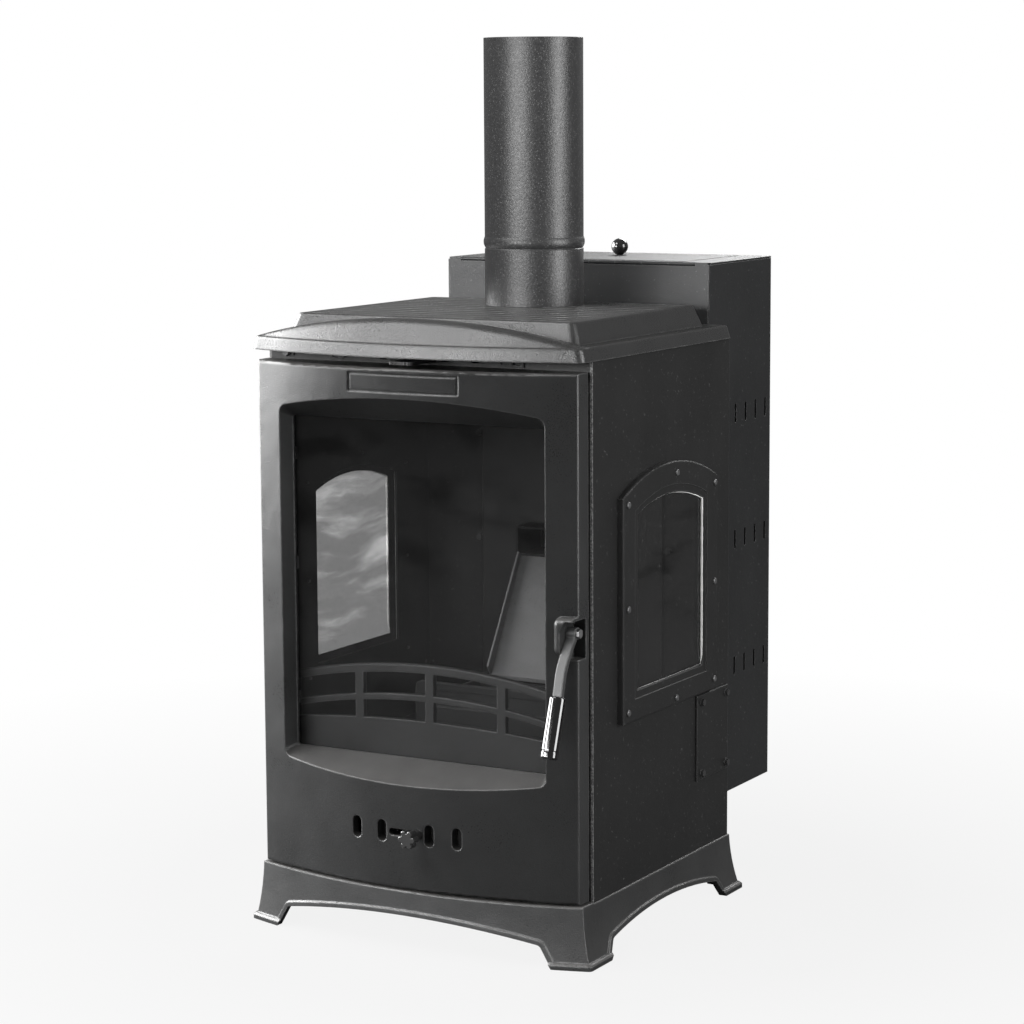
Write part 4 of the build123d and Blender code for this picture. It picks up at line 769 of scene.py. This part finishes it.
paint_on_casting = cast_paint("paint_on_casting", 0.024, 0.65, 1.0, grain=0.32, dust=0.40, sand_size=640)
paint_on_plate = cast_paint("paint_on_plate", 0.015, 0.68, 0.85, grain=0.62, dust=0.10, sand_size=600)
gloss_iron = cast_paint("gloss_iron", 0.010, 0.84, 0.60, grain=0.10)
lever_iron = cast_paint("lever_iron", 0.037, 0.50, 0.60, grain=0.20)
paint_on_fence = cast_paint("paint_on_fence", 0.042, 0.52, 1.0, grain=0.35)
black_on_casting = cast_paint("black_on_casting", 0.006, 0.45, 0.40, grain=0.08)
bare_iron = cast_paint("bare_iron", 0.040, 0.45, 0.40, grain=0.08)
print("casting finishes made")

# %% [markdown]
# Grey stove paint on sheet.
# Sheet is smooth, so the same paint lies flatter on it: a finer and shallower texture, and faint
# broad marks from spraying and handling instead of mould waves. A few tiny pale nicks tell that the
# stove was carried. Edges are lighter by wear and by a painted highlight. Where the door meets the
# body, pale beads along the side sheets' front edges are painted light, a lit line in the shade of
# the door's edge.

# %% Paint on sheet
RUBBED_AND_HIGHLIT_SHEET = neutral(0.20)
NICK = neutral(0.17)
PAINTED_LIGHT_BEADS = neutral(0.42)
FRONT_EDGE_WIDTH = 0.0010


def sheet_paint(name, grey, sheen, edge_wear_and_highlight, texture=900.0, depth=0.16, tint=(1.0, 1.0, 1.0),
                gloss=0.28, painted_light_front=0.0):
    """Base grey with a fine spray texture, broad marks, upright runs, nicks, and edges lighter by wear
    and a painted highlight.

    The painted light on the front is a mask of places nearer than a millimetre to the body's front,
    times beads."""
    finish = Finish(name)
    eased = finish.eased(0.0010)
    spray = finish.noise(texture)
    marks = finish.noise(9, 4.0, 0.55)
    runs = finish.noise(26, 3.0, stretch=(1.0, 1.0, 0.12))
    nicks = finish.noise(230, 3.0, 0.6).above(0.665, 0.04)
    shade = (marks - 0.5) * 0.30 + (runs - 0.5) * 0.16 + (spray - 0.5) * 0.34 + 1.0
    paint = finish.shaded(shade, [grey * part for part in tint])
    # Edges lighter, partly from wear and partly as a painted highlight.
    paint = finish.colour(finish.edges(eased) * edge_wear_and_highlight, paint, RUBBED_AND_HIGHLIT_SHEET)
    paint = finish.colour(nicks * 0.35, paint, NICK)
    # Pale beads on the side sheets' front edges are painted light: a lit line where the door's edge
    # shades the sheet.
    if painted_light_front:
        front = 1 - finish.part(finish.spot, Y).above(DATUM_Y + FRONT_EDGE_WIDTH, 0.0008)
        beads = finish.noise(330, 2.0, 0.6).above(0.46, 0.10) * 0.65 + 0.35
        paint = finish.colour(front * beads * painted_light_front, paint, PAINTED_LIGHT_BEADS)
    rough = (1.0 - sheen) + (marks - 0.5) * 0.20 + (spray - 0.5) * 0.18
    fine = finish.bump(spray, depth, 0.0005, eased)
    slow = finish.bump(marks, 0.25, 0.004, fine)
    return finish.surface({"Base Color": paint, "Roughness": rough.clamp(), "Normal": slow,
                           "Specular IOR Level": gloss})


paint_on_body = sheet_paint("paint_on_body", 0.012, 0.52, 0.50, painted_light_front=0.42)
paint_on_sheet = sheet_paint("paint_on_sheet", 0.012, 0.52, 0.50)
paint_on_frame = sheet_paint("paint_on_frame", 0.012, 0.50, 0.90, texture=600.0, depth=0.30)
powder_coat = sheet_paint("powder_coat", 0.012, 0.55, 0.50, texture=520.0, depth=0.26,
                          tint=(0.97, 1.0, 1.04), gloss=0.36)
black_sheet = sheet_paint("black_sheet", 0.010, 0.48, 0.35)
# The darkest sheet paint, for the feed throat, which shows near black inside the stove.
near_black_sheet = sheet_paint("near_black_sheet", 0.008, 0.30, 0.10)
print("sheet finishes made")

# %% [markdown]
# The flue pipe's heat paint.
# Heat paint on a pipe dries with a fine orange peel and many tiny pale and dark specks, and it is a
# little glossier than the casting's paint, so the pipe shows two soft upright streaks.

# %% Speckled heat paint
PIPE_GREY = (0.026, 0.026, 0.0265)
PALE_SPECK = neutral(0.20)
PIPE_EDGE_WEAR_AND_HIGHLIGHT = neutral(0.16)


def speckled_paint(name):
    """Dark base with small specks from a cell pattern, a fine peel bump and a satin surface."""
    finish = Finish(name)
    eased = finish.eased(0.0012)
    cells = finish.node("ShaderNodeTexVoronoi", {}, {"Vector": finish.spot, "Scale": 430.0},
                        out="Distance")
    specks = (1 - cells.above(0.18, 0.16)) * finish.noise(300).above(0.45, 0.12)
    peel = finish.noise(340, 3.0, 0.65)
    bands = finish.noise(14, 3.0, stretch=(1.0, 1.0, 0.3))
    shade = (peel - 0.5) * 0.8 + (bands - 0.5) * 0.35 + 1.0
    paint = finish.shaded(shade, PIPE_GREY)
    paint = finish.colour(specks * 0.55, paint, PALE_SPECK)
    # Edges lighter, partly from wear and partly as a painted highlight.
    paint = finish.colour(finish.edges(eased) * 0.5, paint, PIPE_EDGE_WEAR_AND_HIGHLIGHT)
    rough = 0.37 + (peel - 0.5) * 0.34 + (bands - 0.5) * 0.12
    return finish.surface({"Base Color": paint, "Roughness": rough.clamp(), "Specular IOR Level": 0.55,
                           "Normal": finish.bump(peel, 0.45, 0.0008, eased)})


heat_paint = speckled_paint("speckled_heat_paint")
print("pipe finish made")

# %% [markdown]
# Plain steel and screws.
# Bare metal is all reflection: its looks come from how rough it is. Rolled sheet and rods are brushed
# one way, which a noise stretched along one axis gives, and hands leave broad smudges. A screw that
# was oiled black is only partly bare, so its metallic value lies below one.

# %% Brushed and blackened metals
BRUSHED_UPRIGHT = (1.0, 1.0, 0.05)
METAL_TINT = (1.0, 1.0, 1.01)


def metal(name, grey, rough_base, brush, smudge, metallic=1.0):
    """Metal with an upright brush noise and broad smudges, in its brightness and its roughness."""
    finish = Finish(name)
    lines = finish.noise(900.0, stretch=BRUSHED_UPRIGHT)
    hand = finish.noise(60, 4.0, 0.55)
    shade = (lines - 0.5) * 0.25 + (hand - 0.5) * 0.2 + 1.0
    bright = finish.shaded(shade, [grey * part for part in METAL_TINT])
    rough = rough_base + (lines - 0.5) * brush + (hand - 0.5) * smudge
    return finish.surface({"Base Color": bright, "Metallic": metallic, "Roughness": rough.clamp(),
                           "Normal": finish.bump(lines, 0.06, 0.0003, finish.eased(0.0006))})


plain_steel = metal("plain_steel", 0.42, 0.34, 0.25, 0.2)
screw_head = metal("screw_head", 0.14, 0.42, 0.2, 0.3, metallic=0.7)
rolled_sheet = metal("rolled_sheet", 0.24, 0.50, 0.2, 0.25, metallic=0.55)
black_screw = metal("black_screw", 0.060, 0.40, 0.2, 0.3, metallic=0.6)
print("brushed metals made")

# %% [markdown]
# The polished grip.
# A polished tube is nearly a mirror, so it shows the lamps and the dark between them. It has no eased
# edges: they would bend every reflection where two facets meet, and break up the streaks. A faint
# haze from hands lies in its roughness.

# %% Polished steel


def chromed(name, grey, rough_base):
    """Near mirror: even metal, a tenth lighter or darker by a slow noise, with haze in the roughness."""
    finish = Finish(name)
    hand = finish.noise(70, 3.0)
    tone = finish.colour(hand, neutral(grey * 0.9), neutral(grey * 1.1))
    rough = rough_base + (hand - 0.5) * 0.06
    return finish.surface({"Base Color": tone, "Metallic": 1.0, "Roughness": rough.clamp(),
                           "Normal": finish.bump(hand, 0.02, 0.0004)})


polished_steel = chromed("polished_steel", 0.085, 0.075)
print("grip finish made")

# %% [markdown]
# Moulded knobs.
# The ball on the lid and the clamping star are pressed thermoset: black all through, glossy or satin,
# with a fine haze from handling that only shows in the highlights.

# %% Moulded knobs


def moulded(name, grey, rough_base):
    """Black under a half coat, with handling haze in the roughness and a faint flow in the colour."""
    finish = Finish(name)
    haze = finish.noise(140, 4.0, 0.6)
    flow = finish.noise(45)
    body = finish.colour(flow, neutral(grey * 0.6), neutral(grey * 1.4))
    rough = rough_base + (haze - 0.5) * 0.12
    return finish.surface({"Base Color": body, "Roughness": rough.clamp(), "Coat Weight": 0.5,
                           "Coat Roughness": 0.04, "Normal": finish.bump(flow, 0.05, 0.0006)})


gloss_black = moulded("gloss_black", 0.012, 0.12)
satin_black = moulded("satin_black", 0.012, 0.34)
print("knob finishes made")

# %% [markdown]
# Stove glass.
# Fire glass is a smoke-tinted ceramic. A pane is thin beside the room behind it, so bending of light
# hardly shows, and a see-through paint layer is enough: alpha sets how much smoke there is. The door
# glass has a light and even tint. The right pane is darker and holds specks of dust. On the left
# pane, which is seen through the door, pale flat drifts like mist are a painted reflection: they
# stand for the cloudy reflection that this pane shows.

# %% Smoked panes
CLEAN_GLASS = neutral(0.004)
PALE_DUST = neutral(0.22)
FLAT_DRIFTS = (1.0, 0.42, 2.4)
DRIFT_SLOPE = 0.05


def smoked_glass(name, clear, drift, film, dust):
    """Alpha from clear up to clear plus drift with the film's cover, and more where seen at a slant.

    The cover is a flat noise, read at places that a slower noise lifts and lowers, so that its drifts
    slope. The colour goes from clean glass to the film with it, and dust is pale specks on that."""
    finish = Finish(name)
    lift = finish.node("ShaderNodeCombineXYZ", {}, {Z: (finish.noise(7.0, 3.0) - 0.5) * DRIFT_SLOPE})
    drifted = finish.node("ShaderNodeVectorMath", {"operation": "ADD"}, {0: finish.spot, 1: lift})
    mist = finish.noise(9.0, 5.0, 0.55, spot=drifted, stretch=FLAT_DRIFTS)
    cover = (1 - mist.above(0.50, 0.16)).clamp()
    specks = finish.noise(260, 3.0, 0.6).above(0.655, 0.05)
    soot = finish.colour(cover * 0.6 + 0.4, CLEAN_GLASS, neutral(film))
    soot = finish.colour(specks * dust, soot, PALE_DUST)
    slant = finish.node("ShaderNodeLayerWeight", {}, {"Blend": 0.28}, out="Facing")
    alpha = clear + cover * drift + specks * 0.10 + slant ** 3.0 * 0.35
    rough = 0.045 + cover * 0.05
    return finish.surface({"Base Color": soot, "Alpha": alpha.clamp(), "Roughness": rough.clamp(),
                           "Specular IOR Level": 0.22})


door_glass = smoked_glass("door_glass_finish", 0.26, 0.04, 0.014, 0.10)
side_glass = smoked_glass("side_glass_finish", 0.52, 0.05, 0.026, 0.60)
# On the left pane the pale drifts of film are a painted cloudy reflection.
cloud_reflection_glass = smoked_glass("cloud_reflection_glass_finish", 0.10, 0.32, 0.08, 0.20)
print("glass made")

# %% [markdown]
# Glass fibre, and the pale bead.
# The seals are pale where they are new and grey where soot has reached them. Fibres give a dull,
# dry surface with no sheen at all. The pale bead round the side panes is a painted highlight, and
# it takes the same recipe in paler greys.

# %% Seals


def fibre(name, pale, dark, scale):
    """Dry pale fibre, darkened by a slow and a fine noise, with a fine thread bump."""
    finish = Finish(name)
    soot = finish.noise(38, 4.0, 0.6)
    threads = finish.noise(scale, 2.0, 0.6)
    body = finish.colour(soot * 0.7 + threads * 0.3, neutral(dark), (pale, pale * 0.99, pale * 0.96))
    rough = 0.82 + (threads - 0.5) * 0.2
    return finish.surface({"Base Color": body, "Roughness": rough.clamp(),
                           "Normal": finish.bump(threads, 0.5, 0.0004)})


rope_fibre = fibre("rope_fibre", 0.62, 0.24, 1600.0)
# Paler still for the side panes' pieces, whose bead is a painted highlight.
pale_highlight_bead = fibre("pale_highlight_bead", 0.95, 0.62, 900.0)
print("seals made")

# %% [markdown]
# Which piece takes which finish.
# The record names a material slot for every piece. Most pieces follow their slot, and a few take a
# finish of their own, because the same slot looks different where it was rubbed, wiped or turned.

# %% Finishes by slot and by piece
BY_SLOT = {
    "grey_casting": paint_on_casting,
    "black_casting": black_on_casting,
    "bare_casting": bare_iron,
    "grey_sheet": paint_on_sheet,
    "dark_sheet": black_sheet,
    "hopper_paint": powder_coat,
    "pipe_enamel": heat_paint,
    "bright_sheet": rolled_sheet,
    "plain_steel": plain_steel,
    "polished_steel": polished_steel,
    "black_fastener": black_screw,
    "black_plastic": gloss_black,
    "ceramic_glass": side_glass,
    "fibre_rope": rope_fibre,
}
BY_PIECE = {
    "fence": paint_on_fence,
    "plate_with_leaning_crest": paint_on_plate,
    "top_plate": paint_on_plate,
    "feed_throat": near_black_sheet,
    "clamp_knob": satin_black,
    "door_glass": door_glass,
    "side_glass_left": cloud_reflection_glass,
    "body_side_right": paint_on_body,
    "body_side_left": paint_on_body,
    "handle_lever": lever_iron,
    "latch_keeper": gloss_iron,
    "side_frame_right": paint_on_frame,
    "side_frame_left": paint_on_frame,
    "window_screws": screw_head,
    "pane_seal_right": pale_highlight_bead,
    "pane_seal_left": pale_highlight_bead,
}


def dress(piece, finish):
    """Gives a piece one material."""
    piece.data.materials.clear()
    piece.data.materials.append(finish)


made_pieces = [piece for piece in bpy.data.objects if "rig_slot" in piece]
slot_of = {row["node"]: row["material_slot"] for row in frame["record"]["subparts"]}
for node_name, node in nodes.items():
    dress(node, BY_PIECE.get(node_name, BY_SLOT[slot_of[node_name]]))
for piece in made_pieces:
    dress(piece, BY_PIECE.get(piece.name, BY_SLOT[piece["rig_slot"]]))
print("dressed", len(nodes), "CAD nodes and", len(made_pieces), "new pieces")

# %% [markdown]
# The floor.
# A stove stands on something, and a cast shadow says where. The floor is a wide pale sheet. To the
# camera it is mixed with plain white, the more so the further it lies from the stove, so that it
# fades into the white background and keeps a soft part of the shadow. To the stove it is a darker
# grey, or it would throw too much light up under the plinth.

# %% A pale floor
WHITE = (1, 1, 1, 1)
FLOOR_HALF = 9.0
FLOOR_LINES = 13
WHITE_NEAR = 0.87
WHITE_FROM, WHITE_FADE = 0.5, 1.1


def floor_sheet():
    """Level grid at height nought, half a side each way."""
    side = np.linspace(-FLOOR_HALF, FLOOR_HALF, FLOOR_LINES)
    x, y = np.meshgrid(side, side, indexing="ij")
    return np.stack([x, y, np.zeros_like(x)], -1)


floor = mesh_piece("floor", [(floor_sheet(), False, False)])
pale = Finish("pale_floor")
cloudy = pale.colour(pale.noise(3.0, 3.0), neutral(0.12), neutral(0.15))
matt = pale.node("ShaderNodeBsdfDiffuse", {}, {"Color": cloudy})
white = pale.node("ShaderNodeEmission", {}, {"Color": WHITE, "Strength": 1.0})
distance = pale.node("ShaderNodeVectorMath", {"operation": "LENGTH"}, {0: pale.spot}, out="Value")
whiteness = distance.above(WHITE_FROM, WHITE_FADE) * (1 - WHITE_NEAR) + WHITE_NEAR
mixed = pale.node("ShaderNodeMixShader", {}, {0: pale.ray("Camera") * whiteness, 1: matt, 2: white})
pale.finish_with(mixed)
dress(floor, pale.material)

# %% [markdown]
# The room.
# A studio's walls give an even fill. The world stands for them: a low grey level for lighting, and
# white where the camera looks past the stove or through its panes. Reflections see a small part of
# that white too, which is enough for gloss and keeps dark paint dark.

# %% The world
FILL = 0.12
GLOSSY_SHARE = 0.14
world = bpy.data.worlds.new("studio")
bpy.context.scene.world = world
room = NodeTree(world)
sees_white = room.ray("Camera") | room.ray("Transmission") | room.ray("Glossy") * GLOSSY_SHARE
walls = room.node("ShaderNodeBackground", {}, {"Color": WHITE, "Strength": FILL})
backdrop = room.node("ShaderNodeBackground", {}, {"Color": WHITE, "Strength": 1.0})
both = room.node("ShaderNodeMixShader", {}, {0: sees_white, 1: walls, 2: backdrop})
room.node("ShaderNodeOutputWorld", {}, {"Surface": both})
print("fill level", FILL, "and white for reflections", GLOSSY_SHARE)

# %% [markdown]
# The lamps.
# The picture was lit from the left: the bow of the front is bright at its left end and fades to the
# right, and the right side is dark. One large soft lamp stands far to the left and gives most of the
# light. A wide low one in front and a small one on the left lift the front of the top plate and the
# plinth, and one high in front lights the tiers. A tall one on the right draws the line on the pipe,
# and one behind keeps the back from being black.

# %% Soft lamps
STOVE_MIDDLE = (0, -0.1, 0.62)


def around(left_of_front, up, away):
    """Place so many degrees left of the stove's front and above its middle, and so many metres away."""
    turn, rise = math.radians(left_of_front), math.radians(up)
    return (STOVE_MIDDLE[X] - away * math.sin(turn) * math.cos(rise),
            STOVE_MIDDLE[Y] - away * math.cos(turn) * math.cos(rise),
            STOVE_MIDDLE[Z] + away * math.sin(rise))


def soft_lamp(name, where, towards, wide, high, watts):
    """Rectangular lamp at a place, turned so that its face looks towards a point."""
    data = bpy.data.lights.new(name, "AREA")
    data.shape = "RECTANGLE"
    data.size, data.size_y, data.energy = wide, high, watts
    lamp = in_scene(name, data)
    lamp.location = where
    lamp.rotation_euler = (Vector(towards) - Vector(where)).to_track_quat("-Z", "Y").to_euler()
    return lamp


lamp_left = soft_lamp("lamp_left", around(84, 15, 3.1), STOVE_MIDDLE, 2.9, 2.15, 350)
lamp_front = soft_lamp("lamp_front", around(7, 9, 3.4), (0, 0, 0.95), 2.5, 0.8, 96)
lamp_bow = soft_lamp("lamp_bow", around(33, 11, 3.2), (0, -0.2, 0.78), 1.0, 0.5, 44)
lamp_back = soft_lamp("lamp_back", around(176, 32, 3.3), (0, 0.3, 0.55), 2.0, 1.3, 95)
soft_lamp("lamp_right", around(-91, 9, 3.0), (0, 0, 0.80), 1.3, 2.6, 94)
soft_lamp("lamp_high", around(27, 48, 3.2), STOVE_MIDDLE, 2.3, 0.95, 80)
print("lamps:", len(bpy.data.lights))

# %% [markdown]
# Cards between lamps and pieces.
# In a studio a black card on a stand keeps a lamp off the one thing that it would spoil. Light
# linking is that card: a collection of pieces that a lamp doesn't reach. Here the door keeps its dark
# front, the pipe its dark middle, and the back lamp leaves the top plate and the floor alone.

# %% Black cards


def flag_off(lamp, names):
    """Keeps a lamp's light off some pieces, as a black card on a stand does in a studio."""
    card = bpy.data.collections.new(f"kept_from_{lamp.name}")
    for name in names:
        card.objects.link(bpy.data.objects[name])
    lamp.light_linking.receiver_collection = card
    for row in card.collection_objects:
        row.light_linking.link_state = "EXCLUDE"
    print(lamp.name, "doesn't reach", names)


flag_off(lamp_left, ["flue_pipe"])
flag_off(lamp_front, ["door_casting"])
flag_off(lamp_bow, ["door_casting", "flue_pipe"])
flag_off(lamp_back, ["plate_with_leaning_crest", "floor"])

# %% [markdown]
# The camera.
# Its place, turn, tilt and roll come from fitting the drawing's edges to the picture. A long lens
# from three and a half metres keeps the verticals nearly upright, so no shift is needed.

# %% The camera
CAMERA_PLACE = (1833.27, -3026.24, 1049.01)
CAMERA_TURN = math.radians(29.496)
CAMERA_TILT = math.radians(8.0985)
CAMERA_ROLL = math.radians(-0.326)
LENS = 100.70
SENSOR_WIDTH = 36


def camera_axes(turn, tilt, roll):
    """Right, up and back vectors of a camera turned about z, tilted down and rolled."""
    ahead = Vector((-math.sin(turn) * math.cos(tilt), math.cos(turn) * math.cos(tilt), -math.sin(tilt)))
    right = Vector((math.cos(turn), math.sin(turn), 0))
    up = right.cross(ahead)
    rolled_right = right * math.cos(roll) + up * math.sin(roll)
    rolled_up = up * math.cos(roll) - right * math.sin(roll)
    return rolled_right, rolled_up, -ahead


camera_data = bpy.data.cameras.new("camera")
camera_data.lens = LENS
camera_data.sensor_width = SENSOR_WIDTH
camera = in_scene("camera", camera_data)
turned = Matrix(camera_axes(CAMERA_TURN, CAMERA_TILT, CAMERA_ROLL)).transposed().to_4x4()
camera.matrix_world = Matrix.Translation(place(*CAMERA_PLACE)) @ turned
bpy.context.scene.camera = camera
bpy.context.scene.view_settings.view_transform = "Standard"
print("camera at", [round(v, 3) for v in camera.location])

# %% [markdown]
# The scene's places are brought up to date.

# %% A last update
bpy.context.view_layer.update()
